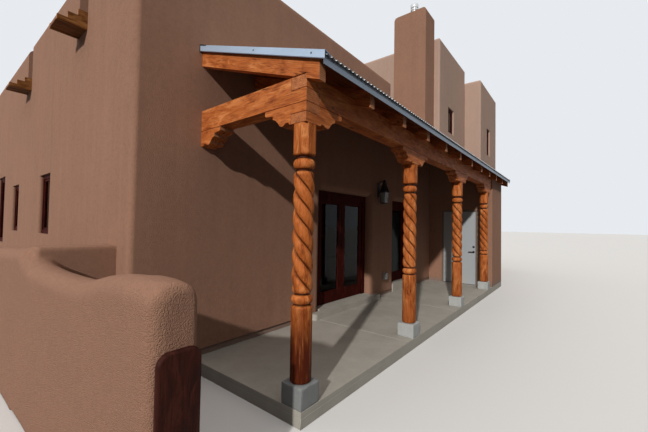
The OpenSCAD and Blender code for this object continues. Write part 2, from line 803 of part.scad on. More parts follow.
module hung_pane(w, z0, z1) {
    translate([stile_w, leaf_in + (leaf_t - pane_t) / 2, z0 + rail_h])
        cube([w - 2 * stile_w, pane_t, z1 - z0 - rail_h - stile_w]);
}

function hinge_heights(z0, z1) = [z0 + hinge_inset, (z0 + z1) / 2, z1 - hinge_inset - 3 * knuckle_h];

// Pins, fixed knuckles and plates for a leaf whose left edge is at x = 0
module hinge_set(z0, z1) {
    for (z = hinge_heights(z0, z1)) translate([-door_gap / 2, frame_t + hinge_r, z]) {
        cylinder(h = 3 * knuckle_h, r = pin_r, $fn = 32);
        for (k = [0, 2 * knuckle_h]) translate([0, 0, k]) {
            cylinder(h = knuckle_h, r = hinge_r, $fn = 32);
            translate([-plate_w, -hinge_r, 0]) cube([plate_w, plate_t, knuckle_h]);
        }
    }
}

meet_gap = door_gap + 3;
french_leaf_w = (french_w - 2 * frame_w - 2 * door_gap - meet_gap) / 2;
glass_leaf_w = glass_w - 2 * frame_w - 2 * door_gap;
store_leaf_w = store_w - 2 * store_frame_w - 2 * door_gap;
glass_leaf_top = head_z - frame_w - door_gap;

// Places of the leaves: the left French leaf is hung at the south, the other glass leaves at the north
module at_french_left() {
    on_wall(90, -reveal, french_y - french_w / 2) translate([frame_w + door_gap, 0, 0]) children();
}
module at_french_right() {
    on_wall(90, -reveal, french_y + french_w / 2) mirror([1, 0, 0])
        translate([frame_w + door_gap, 0, 0]) children();
}
module at_glass_door() {
    on_wall(90, -reveal, glass_y + glass_w) mirror([1, 0, 0])
        translate([frame_w + door_gap, 0, 0]) children();
}
module at_store_door() {
    on_wall(0, store_x, store_y) translate([store_frame_w + door_gap, 0, 0]) children();
}

module french_door_frame() {
    color(dark_wood) on_wall(90, -reveal, french_y - french_w / 2)
        door_frame(french_w, french_sill, head_z, frame_w);
}
module french_left_leaf() {
    color(dark_wood) at_french_left()
        hung_leaf(french_leaf_w, french_sill + door_gap, glass_leaf_top, true);
}
module french_left_glass() {
    color(pane_blue) at_french_left() hung_pane(french_leaf_w, french_sill + door_gap, glass_leaf_top);
}
module french_right_leaf() {
    color(dark_wood) at_french_right()
        hung_leaf(french_leaf_w, french_sill + door_gap, glass_leaf_top, true);
}
module french_right_glass() {
    color(pane_blue) at_french_right() hung_pane(french_leaf_w, french_sill + door_gap, glass_leaf_top);
}
module glass_door_frame() {
    color(dark_wood) on_wall(90, -reveal, glass_y) door_frame(glass_w, glass_sill, head_z, frame_w);
}
module glass_door_leaf() {
    color(dark_wood) at_glass_door() hung_leaf(glass_leaf_w, glass_sill + door_gap, glass_leaf_top, true);
}
module glass_door_pane() {
    color(pane_blue) at_glass_door() hung_pane(glass_leaf_w, glass_sill + door_gap, glass_leaf_top);
}
module store_door_frame() {
    color(white_paint) on_wall(0, store_x, store_y) door_frame(store_w, 0, store_head_z, store_frame_w);
}
module store_door_leaf() {
    color(white_paint) at_store_door()
        hung_leaf(store_leaf_w, door_gap, store_head_z - store_frame_w - door_gap, false);
}

// Lever on a round rose, and the dead bolt's cylinder above it
module store_door_handle() {
    lever_z = 930;
    bolt_z = 1075;
    backset = 62;
    color(iron) at_store_door() translate([store_leaf_w - backset, leaf_in, 0]) rotate([90, 0, 0]) {
        translate([0, lever_z, 0]) cylinder(h = 10, r = 32, $fn = 32);
        translate([0, lever_z, 0]) cylinder(h = 52, r = 10, $fn = 32);
        translate([-115, lever_z - 9, 40]) cube([124, 18, 12]);
        translate([0, bolt_z, 0]) cylinder(h = 16, r = 30, $fn = 32);
    }
}

module door_hinges() {
    color(iron) {
        at_french_left() hinge_set(french_sill + door_gap, glass_leaf_top);
        at_french_right() hinge_set(french_sill + door_gap, glass_leaf_top);
        at_glass_door() hinge_set(glass_sill + door_gap, glass_leaf_top);
        at_store_door() hinge_set(door_gap, store_head_z - store_frame_w - door_gap);
    }
}

module window_frames() {
    color(dark_wood) for (w = windows) on_wall(w[1], w[2], w[3]) translate([0, win_in, w[4]]) difference() {
        cube([w[5], win_frame_t, w[6]]);
        translate([win_frame_w, -1, win_frame_w])
            cube([w[5] - 2 * win_frame_w, win_frame_t + 2, w[6] - 2 * win_frame_w]);
    }
}

module window_glass() {
    color(pane_blue) for (w = windows) on_wall(w[1], w[2], w[3])
        translate([win_frame_w, win_in + (win_frame_t - pane_t) / 2, w[4] + win_frame_w])
            cube([w[5] - 2 * win_frame_w, pane_t, w[6] - 2 * win_frame_w]);
}

// Six-sided taper standing on z, h high, its corners r0 from the middle below and r1 above
module taper(z, h, r0, r1) { translate([0, 0, z]) cylinder(h = h, r1 = r0, r2 = r1, $fn = 6); }

// Lantern on the pier: backplate, arm, six-sided glass body and tall hood
module wall_lantern() {
    arm = 150;
    body_h = 262;
    body_r = 115;
    hood_h = 215;
    color(iron) translate([0, glass_y - lamp_in, lamp_z]) {
        translate([0, -60, 150]) cube([18, 120, 330]);
        translate([16, -14, body_h + hood_h - 60]) cube([arm - 16, 28, 28]);
        translate([arm, 0, 0]) {
            taper(0, 16, body_r - 20, body_r - 15);
            taper(16, body_h - 16, body_r - 22, body_r);
            taper(body_h, 18, body_r + 20, body_r + 16);
            taper(body_h + 18, hood_h - 18, body_r + 10, 45);
            taper(body_h + hood_h, 75, 50, 18);
        }
    }
}

// Depth of the scoop at a place along the patio wall, drawn as a smooth line through the list
function scoop_at(u, i = 0) = u <= 0 || u >= 1 ? 0
    : u <= scoop[i + 1][0] ? scoop[i][1] + (scoop[i + 1][1] - scoop[i][1])
        * (u - scoop[i][0]) / (scoop[i + 1][0] - scoop[i][0])
    : scoop_at(u, i + 1);
function patio_top(x) = patio_h - scoop_d * scoop_at((patio_east - scoop_east - x) / scoop_len)
    - patio_fall * max(0, -arm_x - x);

// Middle of the patio wall at x, on its way away from the house
function patio_mid(x) = -patio_out + patio_t / 2 - patio_splay * (patio_east - x);

// Stations along the patio wall: place, half width and how far the round end takes the top down
patio_x = concat(
    [for (a = [90:-18:0]) [patio_east - patio_end_r * (1 - sin(a)), patio_end_r * (1 - cos(a))]],
    [for (u = scoop) [patio_east - scoop_east - scoop_len * u[0], 0]],
    [for (a = [0:18:90]) [-patio_west + patio_end_r * (1 - sin(a)), patio_end_r * (1 - cos(a))]]);

// Section of the patio wall at a station, from its outer foot over the top to its inner foot
function patio_section(p) = let (w = patio_t / 2 - p[1], h = patio_top(p[0]) - p[1], r = min(patio_r, w - 10))
    concat([[-w, -slab_t]], arc(-w + r, h - r, r, 180, 90), arc(w - r, h - r, r, 90, 0), [[w, -slab_t]]);

// Patio wall with a scooped, rounded top and round ends, and its arm to the south wall
module patio_wall() {
    n = len(patio_x);
    m = len(patio_section(patio_x[0]));
    points = [for (p = patio_x) for (q = patio_section(p)) [p[0], patio_mid(p[0]) + q[0], q[1]]];
    faces = concat(
        [for (i = [0:n - 2]) for (j = [0:m - 1]) [i * m + j, (i + 1) * m + j, i * m + (j + 1) % m]],
        [for (i = [0:n - 2]) for (j = [0:m - 1])
            [i * m + (j + 1) % m, (i + 1) * m + j, (i + 1) * m + (j + 1) % m]],
        [[for (j = [0:m - 1]) j], [for (j = [m - 1:-1:0]) (n - 1) * m + j]]);
    color(stucco) {
        polyhedron(points, faces);
        translate([-arm_x, 0, 0]) rotate([90, 0, 0]) linear_extrude(-patio_mid(-arm_x))
            polygon(concat([[-patio_t, -slab_t]],
                arc(-patio_t + patio_r, patio_h - patio_r, patio_r, 180, 90),
                arc(-patio_r, patio_h - patio_r, patio_r, 90, 0), [[0, -slab_t]]));
    }
}

// Board on the end of the patio wall, with round top corners
module gate_jamb() {
    r = 90;
    w = patio_t - 35;
    color(dark_wood) translate([patio_east, -patio_out + 30, -slab_t])
        rotate([90, 0, 90]) linear_extrude(jamb_t) union() {
            square([w, jamb_h + slab_t - r]);
            translate([r, 0]) square([w - 2 * r, jamb_h + slab_t]);
            for (x = [r, w - r]) translate([x, jamb_h + slab_t - r]) circle(r, $fn = 48);
        }
}

placed() portal_slab();
placed() house_floor();
placed() decks();
placed() east_wall_near();
placed() east_wall_pier();
placed() east_wall_far();
placed() door_lintel_walls();
placed() south_wall();
placed() west_wall();
placed() north_wall();
placed() rear_east_wall();
placed() rear_south_wall();
placed() rear_west_wall();
placed() far_walls();
placed() chimney();
placed() chimney_flue();
placed() roof_spouts();
placed() store_walls();
placed() base_blocks();
placed() portal_posts();
placed() corbels();
placed() portal_beams();
placed() rafters();
placed() roof_boards();
placed() metal_roof();
placed() roof_flashing();
placed() door_sills();
placed() french_door_frame();
placed() french_left_leaf();
placed() french_left_glass();
placed() french_right_leaf();
placed() french_right_glass();
placed() glass_door_frame();
placed() glass_door_leaf();
placed() glass_door_pane();
placed() store_door_frame();
placed() store_door_leaf();
placed() store_door_handle();
placed() door_hinges();
placed() window_frames();
placed() window_glass();
placed() wall_lantern();
placed() patio_wall();
placed() gate_jamb();
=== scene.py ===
"""Adobe house with a turned-post portal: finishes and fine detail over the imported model."""

import math
import random

import bmesh
import bpy
from bpy.props import FloatProperty, FloatVectorProperty, IntProperty, PointerProperty
from bpy.types import Operator, Panel, PropertyGroup
from mathutils import Matrix, Vector, noise


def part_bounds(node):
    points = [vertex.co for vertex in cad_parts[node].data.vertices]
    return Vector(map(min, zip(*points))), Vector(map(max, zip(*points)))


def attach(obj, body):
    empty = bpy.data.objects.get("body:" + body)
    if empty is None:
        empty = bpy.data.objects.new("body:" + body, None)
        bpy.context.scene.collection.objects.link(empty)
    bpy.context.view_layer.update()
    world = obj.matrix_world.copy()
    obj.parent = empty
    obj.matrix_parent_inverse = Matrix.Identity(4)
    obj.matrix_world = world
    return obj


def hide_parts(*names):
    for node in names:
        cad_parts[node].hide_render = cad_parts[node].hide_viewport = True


bl_info = {
    "name": "Adobe House Dresser",
    "version": (1, 0, 0),
    "blender": (4, 5, 0),
    "location": "View3D > Sidebar > Adobe House",
    "description": "Dresses the adobe house with stucco, carved timber, roofing, doors and a stage",
    "category": "Add Mesh",
}

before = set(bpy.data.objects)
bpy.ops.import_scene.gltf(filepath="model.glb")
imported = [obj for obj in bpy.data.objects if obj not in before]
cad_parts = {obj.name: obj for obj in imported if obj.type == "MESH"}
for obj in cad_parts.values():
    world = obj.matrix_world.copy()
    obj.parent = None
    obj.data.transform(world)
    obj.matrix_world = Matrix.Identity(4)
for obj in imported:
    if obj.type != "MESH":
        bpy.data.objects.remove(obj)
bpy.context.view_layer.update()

# Places and sizes, in metres

# Height of the ground from the slab's top, and the slab's sides; the slab runs a little under the east wall
GROUND = -0.15
SLAB_IN, SLAB_OUT, SLAB_SOUTH, SLAB_NORTH = -0.03, 1.755, 0.75, 9.8
# Corner of the south and east walls at the height of the slab's top; every place here is from this corner,
# with X to the east and Y to the north
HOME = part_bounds("portal_slab")[0] - Vector((SLAB_IN, SLAB_SOUTH, GROUND))

# Middles of the posts, and the top of the blocks under them
POST_X = 1.63
POST_YS = tuple(0.875 + 2.41 * k for k in range(4))
BLOCK_TOP = 0.195
# Corbels and beams share one width, and lie over the middles of the posts
BEAM_WIDE = 0.19
BEAM_HALF = BEAM_WIDE / 2
BEAM_IN, BEAM_OUT = POST_X - BEAM_HALF, POST_X + BEAM_HALF
CORBEL_LOW, BEAM_LOW, BEAM_TOP = 2.57, 2.76, 3.01
# Faces of the end beam to the south and the north
END_SOUTH, END_NORTH = POST_YS[0] - BEAM_HALF, POST_YS[0] + BEAM_HALF
# South face of the store's wall, which carries the far end of the long beam
STORE_SOUTH = 8.5
# Open joint between timbers that lie on each other
SEAM = 0.004

# Rise of the roof over one metre, depth of the rafters, how far the sheets lie over them, and the outer
# face of the eave strip
SLOPE = 0.355
RAFTER_DEEP = 0.184
SHEET_LIFT = 0.0265
ROOF_OUT = 1.957

# These stand an outline upright, along X with its depth to the south or along Y with its depth to the east
UP_X = Matrix(((1, 0, 0, 0), (0, 0, -1, 0), (0, 1, 0, 0), (0, 0, 0, 1)))
UP_Y = Matrix(((0, 0, 1, 0), (1, 0, 0, 0), (0, 1, 0, 0), (0, 0, 0, 1)))


def move(x=0.0, y=0.0, z=0.0):
    return Matrix.Translation((x, y, z))


def turn(degrees, axis="Z"):
    return Matrix.Rotation(math.radians(degrees), 4, axis)


# Settings


class TimberSettings(PropertyGroup):
    """Sizes and stain of the portal's timbers"""

    edge: FloatProperty(
        name="Edge round", description="Radius worn on the long edges", default=0.006, unit="LENGTH")
    pale: FloatVectorProperty(
        name="Pale wood", description="Sapwood under the stain", default=(0.68, 0.255, 0.082),
        subtype="COLOR")
    warm: FloatVectorProperty(
        name="Stained wood", description="Main colour of the stain", default=(0.485, 0.132, 0.029),
        subtype="COLOR")
    deep: FloatVectorProperty(
        name="Dark grain", description="Late wood and weathered streaks", default=(0.17, 0.034, 0.006),
        subtype="COLOR")


class PostSettings(PropertyGroup):
    """The turned and carved posts"""

    radius: FloatProperty(
        name="Shaft radius", description="Radius of the turned shaft", default=0.1, unit="LENGTH")
    groove: FloatProperty(
        name="Groove depth", description="Depth of the spiral grooves", default=0.034, unit="LENGTH")
    lead: FloatProperty(
        name="Lead", description="Rise of one turn of the spiral", default=0.537, unit="LENGTH")
    rows: IntProperty(name="Rows", description="Rows of faces up the spiral", default=120, min=20)


class StuccoSettings(PropertyGroup):
    """The float-finished stucco"""

    colour: FloatVectorProperty(
        name="Stucco", description="Colour of the coloured coat", default=(0.300, 0.161, 0.106),
        subtype="COLOR")
    pale: FloatVectorProperty(
        name="Pale stucco", description="Colour of the tall rear blocks", default=(0.42, 0.288, 0.228),
        subtype="COLOR")
    sand: FloatProperty(name="Sand size", description="Grains across one metre", default=85.0)
    relief: FloatProperty(
        name="Relief", description="Height of the sand texture", default=0.006, unit="LENGTH")


class RoofSettings(PropertyGroup):
    """The portal's metal roof"""

    rib: FloatProperty(
        name="Rib pitch", description="Distance between the ribs of the sheets", default=0.0678,
        unit="LENGTH")
    depth: FloatProperty(name="Rib depth", description="Height of the ribs", default=0.0185, unit="LENGTH")
    metal: FloatVectorProperty(
        name="Metal", description="Colour of the galvanized sheet", default=(0.72, 0.75, 0.77),
        subtype="COLOR")
    # the trim's blue is a painted reflection of the sky
    trim: FloatVectorProperty(
        name="Trim", description="Colour of the bent rake and eave sheets", default=(0.47, 0.59, 0.75),
        subtype="COLOR")


class JoinerySettings(PropertyGroup):
    """Doors and windows"""

    stain: FloatVectorProperty(
        name="Joinery stain", description="Dark red stain of the frames and leaves",
        default=(0.042, 0.006, 0.004), subtype="COLOR")
    white: FloatVectorProperty(
        name="White paint", description="Paint of the store door", default=(0.36, 0.385, 0.40),
        subtype="COLOR")
    bead: FloatProperty(
        name="Glazing bead", description="Width of the beads round the panes", default=0.014, unit="LENGTH")


class ConcreteSettings(PropertyGroup):
    """Slab, blocks and sills"""

    colour: FloatVectorProperty(
        name="Slab", description="Colour of the trowelled slab", default=(0.375, 0.35, 0.305),
        subtype="COLOR")
    block: FloatVectorProperty(
        name="Blocks", description="Colour of the cast blocks", default=(0.40, 0.41, 0.40), subtype="COLOR")
    joint: FloatProperty(
        name="Control joint", description="Width of the joints in the slab", default=0.008, unit="LENGTH")


class StageSettings(PropertyGroup):
    """Light, floor and camera"""

    sun: FloatProperty(name="Sun", description="Strength of the key light", default=2.75)
    sun_height: FloatProperty(
        name="Sun height", description="Height of the key light above the horizon", default=math.radians(25),
        subtype="ANGLE")
    fill: FloatProperty(name="Fill", description="Strength of the soft light from overhead", default=1.4)
    floor: FloatVectorProperty(
        name="Floor", description="Colour of the floor", default=(0.74, 0.735, 0.72), subtype="COLOR")
    backdrop: FloatVectorProperty(
        name="Backdrop", description="Colour behind the house", default=(0.80, 0.83, 0.87), subtype="COLOR")


# Meshes


def round_edges(bm, edges, width, rounds):
    bmesh.ops.bevel(bm, geom=edges, offset=width, offset_type="OFFSET", segments=rounds, profile=0.5,
                    affect="EDGES", clamp_overlap=True)


def cube_mesh(low, high, cuts=0):
    """Plain box, its faces cut into a grid"""
    bm = bmesh.new()
    bmesh.ops.create_cube(bm, size=1.0)
    if cuts:
        bmesh.ops.subdivide_edges(bm, edges=bm.edges[:], cuts=cuts, use_grid_fill=True)
    low, high = Vector(low), Vector(high)
    for v in bm.verts:
        v.co = Vector([(v.co[i] + 0.5) * (high[i] - low[i]) + low[i] for i in range(3)])
    return bm


def box_mesh(low, high, edge=0.004, rounds=2):
    """Box with rounded edges"""
    bm = cube_mesh(low, high)
    if edge:
        round_edges(bm, bm.edges[:], edge, rounds)
    return bm


def prism_mesh(outline, depth, edge=0.003, rounds=2, sharp=26):
    """Outline in the XY plane pushed up by depth, its edges rounded where they bend by over sharp degrees"""
    bm = bmesh.new()
    low = [bm.verts.new((x, y, 0)) for x, y in outline]
    high = [bm.verts.new((x, y, depth)) for x, y in outline]
    bm.faces.new(low[::-1])
    bm.faces.new(high)
    for i in range(len(low)):
        j = (i + 1) % len(low)
        bm.faces.new((low[i], low[j], high[j], high[i]))
    bmesh.ops.recalc_face_normals(bm, faces=bm.faces[:])
    if edge:
        round_edges(bm, [e for e in bm.edges if e.calc_face_angle(0) > math.radians(sharp)], edge, rounds)
    return bm


def ring_mesh(rings, marks=None):
    """Closed skin over a stack of rings with equally many points, which may carry groove marks of grime and
    painted shade
    """
    bm = bmesh.new()
    groove = bm.verts.layers.float.new("groove")
    rows = []
    for i, ring in enumerate(rings):
        row = []
        for j, p in enumerate(ring):
            v = bm.verts.new(p)
            v[groove] = marks[i][j] if marks else 0.0
            row.append(v)
        rows.append(row)
    count = len(rows[0])
    for a, b in zip(rows, rows[1:]):
        for j in range(count):
            k = (j + 1) % count
            bm.faces.new((a[j], a[k], b[k], b[j]))
    bm.faces.new(rows[0][::-1])
    bm.faces.new(rows[-1])
    bmesh.ops.recalc_face_normals(bm, faces=bm.faces[:])
    return bm


def full_turn(count):
    """Even angles round a circle"""
    return [2 * math.pi * j / count for j in range(count)]


def lathe_mesh(profile, around=48):
    """Profile of radius and height turned about Z"""
    return ring_mesh([[(r * math.cos(a), r * math.sin(a), z) for a in full_turn(around)] for r, z in profile])


def arc(cx, cy, r, start, end, steps=8):
    """Points of an arc between two angles in degrees"""
    angles = [math.radians(start + (end - start) * i / steps) for i in range(steps + 1)]
    return [(cx + r * math.cos(a), cy + r * math.sin(a)) for a in angles]


class Shape:
    """Collects the faces of one piece, with the run of the grain at every corner"""

    def __init__(self, seed):
        self.rng = random.Random(seed)
        self.corners, self.faces, self.grain = [], [], []
        self.marks = {"groove": [], "stain": [], "end": []}

    def take(self, bm, place=None, along="z", stain=0.0, lean=0.0, ends=1.0):
        """Adds a mesh made in its own space, where the grain runs along the named axis, turned by lean about
        Z. The stain, a darkening that is partly painted shade on some pieces, is a share or a function of the
        place, and ends is how far cut ends show."""
        place = place or Matrix()
        order = {"x": (1, 2, 0), "y": (2, 0, 1), "z": (0, 1, 2)}[along]
        spin = Matrix.Rotation(lean, 3, "Z")
        bm.normal_update()
        across = {v for f in bm.faces if ends and abs((spin @ f.normal)[order[2]]) > 0.9 for v in f.verts}
        drift = Vector([self.rng.uniform(-most, most) for most in (0.12, 0.12, 60)])
        first = len(self.corners)
        groove = bm.verts.layers.float.get("groove")
        bm.verts.index_update()
        for v in bm.verts:
            at = place @ v.co
            self.corners.append(at + HOME)
            run = spin @ v.co
            self.grain.append(Vector([run[k] for k in order]) + drift)
            self.marks["end"].append(ends if v in across else 0.0)
            self.marks["groove"].append(v[groove] if groove else 0.0)
            self.marks["stain"].append(stain(at) if callable(stain) else stain)
        self.faces += [[first + v.index for v in f.verts] for f in bm.faces]
        bm.free()
        return self

    def piece(self, name, finish, slot, body="house", nodes=(), smooth=38.0, even=True):
        """Makes the object, gives it its finish and ties it to the frame"""
        mesh = bpy.data.meshes.new(name)
        mesh.from_pydata(self.corners, [], self.faces)
        run = mesh.attributes.new("grain", "FLOAT_VECTOR", "POINT")
        run.data.foreach_set("vector", [c for g in self.grain for c in g])
        for key, values in self.marks.items():
            mesh.attributes.new(key, "FLOAT", "POINT").data.foreach_set("value", values)
        mesh.materials.append(finish)
        mesh.shade_smooth()
        mesh.set_sharp_from_angle(angle=math.radians(smooth))
        obj = bpy.data.objects.new(name, mesh)
        bpy.context.scene.collection.objects.link(obj)
        if even:
            obj.modifiers.new("even_shading", "WEIGHTED_NORMAL").keep_sharp = True
        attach(obj, body)
        if nodes:
            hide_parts(*nodes)
        return obj


# Node helpers


def feed(tree, node, **inputs):
    """Gives inputs a value or another node's socket; _ stands for a space, and _0 for input number 0"""
    for key, value in inputs.items():
        socket = node.inputs[int(key[1:])] if key[1:].isdigit() else node.inputs[key.replace("_", " ")]
        if isinstance(value, bpy.types.NodeSocket):
            tree.links.new(value, socket)
        else:
            socket.default_value = value


def put(tree, kind, settings=None, **inputs):
    """Adds a node with its settings and its inputs"""
    node = tree.nodes.new(kind)
    for key, value in (settings or {}).items():
        setattr(node, key, value)
    feed(tree, node, **inputs)
    return node


def calc(tree, kind, a, b=0.0, clamp=False):
    return put(tree, "ShaderNodeMath", {"operation": kind, "use_clamp": clamp}, _0=a, _1=b).outputs[0]


def plus(tree, a, b, clamp=False):
    return calc(tree, "ADD", a, b, clamp)


def minus(tree, a, b):
    return calc(tree, "SUBTRACT", a, b)


def times(tree, a, b):
    return calc(tree, "MULTIPLY", a, b)


def tint(tree, factor, a, b):
    """Colour a turned to b by factor"""
    a, b = (c if isinstance(c, bpy.types.NodeSocket) else (*c, 1.0) for c in (a, b))
    return put(tree, "ShaderNodeMix", {"data_type": "RGBA"}, _0=factor, _6=a, _7=b).outputs[2]


def span(tree, value, low, high, to_low=0.0, to_high=1.0):
    """Value between low and high stretched smoothly to the new limits"""
    return put(tree, "ShaderNodeMapRange", {"interpolation_type": "SMOOTHSTEP"},
               _0=value, _1=low, _2=high, _3=to_low, _4=to_high).outputs[0]


def cloud(tree, vector, scale, detail=4.0, rough=0.55, warp=0.0):
    return put(tree, "ShaderNodeTexNoise", None, Vector=vector, Scale=scale, Detail=detail, Roughness=rough,
               Distortion=warp).outputs[0]


def stretch(tree, vector, x, y, z):
    return put(tree, "ShaderNodeVectorMath", {"operation": "MULTIPLY"}, _0=vector, _1=(x, y, z)).outputs[0]


def fibres(tree, vector, across, along, detail, rough=0.5, warp=0.0):
    """Noise drawn out along the third axis"""
    return cloud(tree, stretch(tree, vector, across, across, along), 1.0, detail, rough, warp)


def cells(tree, vector, scale, settings=None, **inputs):
    return put(tree, "ShaderNodeTexVoronoi", settings, Vector=vector, Scale=scale, **inputs).outputs


def red(tree, colour):
    return put(tree, "ShaderNodeSeparateColor", None, _0=colour).outputs[0]


def height_of(tree, vector):
    return put(tree, "ShaderNodeSeparateXYZ", None, _0=vector).outputs[2]


def mark(tree, name):
    """Share that the mesh carries under the name"""
    return put(tree, "ShaderNodeAttribute", {"attribute_name": name}).outputs["Fac"]


def own_place(tree):
    return put(tree, "ShaderNodeTexCoord").outputs["Object"]


def bump(tree, strength, distance, height):
    return put(tree, "ShaderNodeBump", None, Strength=strength, Distance=distance, Height=height).outputs[0]


COLOUR, NUMBER, VECTOR = "NodeSocketColor", "NodeSocketFloat", "NodeSocketVector"


def new_group(name, inputs, outputs):
    """Node group with named sockets, its inputs by name and its output node"""
    group = bpy.data.node_groups.new(name, "ShaderNodeTree")
    for key, kind, value in inputs:
        socket = group.interface.new_socket(key, in_out="INPUT", socket_type=kind)
        if value is not None:
            socket.default_value = value
    for key, kind in outputs:
        group.interface.new_socket(key, in_out="OUTPUT", socket_type=kind)
    return group, group.nodes.new("NodeGroupInput").outputs, group.nodes.new("NodeGroupOutput")


KNOT_HEART, CHECK_DARK = (0.014, 0.005, 0.003), (0.02, 0.006, 0.003)
END_PALE, END_RING = (0.44, 0.205, 0.105), (0.22, 0.085, 0.036)
# soaked wood, partly painted shade, and the grooves' grime and painted shade
SOAKED_AND_SHADED, GROOVE_SHADE_AND_GRIME = (0.06, 0.0085, 0.0012), (0.03, 0.006, 0.002)


def timber_group():
    """Stained softwood: mottled stain, streaks and rings, knots, drying checks, end grain that is partly
    painted light on the rafter tails, a darkening that is partly painted shade, and grooves darkened with
    grime and painted shade
    """
    if "stained_wood" in bpy.data.node_groups:
        return bpy.data.node_groups["stained_wood"]
    t, i, out = new_group(
        "stained_wood",
        [("Grain", VECTOR, None)]
        + [(key, NUMBER, 0.0) for key in ("Groove", "Stain", "End")]
        + [(key, COLOUR, None) for key in ("Pale", "Warm", "Deep")]
        + [(key, NUMBER, 1.0) for key in ("Knots", "Checks")],
        [("Colour", COLOUR), ("Roughness", NUMBER), ("Height", NUMBER)])
    grain = i["Grain"]
    # some of the cells hold a knot, and the grain bends round it
    cell = cells(t, stretch(t, grain, 6.5, 6.5, 3.6), 1.0)
    rare = calc(t, "GREATER_THAN", red(t, cell["Color"]), 0.58)
    knot = times(t, times(t, span(t, cell["Distance"], 0.095, 0.05), rare), i["Knots"])
    knot_ring = times(t, span(t, cell["Distance"], 0.19, 0.08), times(t, times(t, rare, i["Knots"]), 0.55))
    pull = times(t, span(t, cell["Distance"], 0.36, 0.05), rare)
    pull = put(t, "ShaderNodeCombineXYZ", None, _0=pull, _1=pull, _2=0.0).outputs[0]
    bent = put(t, "ShaderNodeVectorMath", {"operation": "ADD"},
               _0=grain, _1=stretch(t, pull, 0.022, 0.03, 0.0)).outputs[0]
    streaks = fibres(t, bent, 60, 3.2, 6.0, 0.62)
    mottle = fibres(t, bent, 15, 4.2, 5.0, 0.62, 0.6)
    broad = fibres(t, bent, 4.5, 1.0, 3.0)
    fine = fibres(t, grain, 230, 6, 3.0, 0.6)
    fleck = span(t, fibres(t, grain, 130, 11, 2.0), 0.61, 0.70)
    rings = put(t, "ShaderNodeTexWave", {"wave_type": "RINGS", "rings_direction": "Z"},
                Vector=stretch(t, bent, 1, 1, 0.09), Scale=17.0, Distortion=3.2, Detail=3.0,
                Detail_Scale=1.4).outputs[1]
    # stain taken up by the streaks and rings, and pale patches between them
    dark = plus(t, times(t, span(t, streaks, 0.46, 0.70), 0.5), times(t, span(t, rings, 0.35, 1.0), 0.16))
    dark = plus(t, dark, times(t, span(t, mottle, 0.49, 0.68), 0.55), clamp=True)
    pale = times(t, span(t, mottle, 0.54, 0.34), span(t, broad, 0.70, 0.36))
    pale = times(t, pale, minus(t, 1.0, times(t, dark, 0.6)))
    colour = tint(t, dark, i["Warm"], i["Deep"])
    colour = tint(t, pale, colour, i["Pale"])
    colour = tint(t, times(t, fleck, 0.7), colour, i["Deep"])
    colour = tint(t, knot_ring, colour, i["Deep"])
    colour = tint(t, times(t, knot, 0.95), colour, KNOT_HEART)
    # cut ends show paler end grain; on the rafter tails, which take it in full, it also stands in for
    # sunlight, so it is partly painted light
    ringed = plus(t, times(t, span(t, rings, 0.25, 0.85), 0.5), times(t, dark, 0.4))
    colour = tint(t, times(t, i["End"], 0.85), colour, tint(t, ringed, END_PALE, END_RING))
    # drying checks: the thin line where a drawn-out noise passes its middle, in some places only
    line = calc(t, "ABSOLUTE", minus(t, fibres(t, bent, 21, 0.9, 2.0), 0.5))
    some = span(t, fibres(t, grain, 6, 2.1, 1.0, 0.55), 0.54, 0.62)
    check = times(t, times(t, span(t, line, 0.012, 0.003), some), i["Checks"])
    colour = tint(t, times(t, check, 0.85), colour, CHECK_DARK)
    # darkening: damp on the posts' feet, partly painted shade on the corner post's foot; the spout tray is
    # made darker too
    soak_and_shade = times(t, i["Stain"], span(t, streaks, 0.32, 0.58, 0.62, 1.1))
    colour = tint(t, soak_and_shade, colour, SOAKED_AND_SHADED)
    # grooves, necks and the ends of the spiral are darkened with grime and painted shade
    colour = tint(t, times(t, i["Groove"], 0.95), colour, GROOVE_SHADE_AND_GRIME)
    relief = plus(t, times(t, fine, 0.35), times(t, streaks, 0.65))
    hollow = times(t, plus(t, check, times(t, knot, 0.5)), 1.6)
    feed(t, out, Colour=colour, Roughness=plus(t, times(t, streaks, 0.22), 0.50),
         Height=minus(t, relief, hollow))
    return t


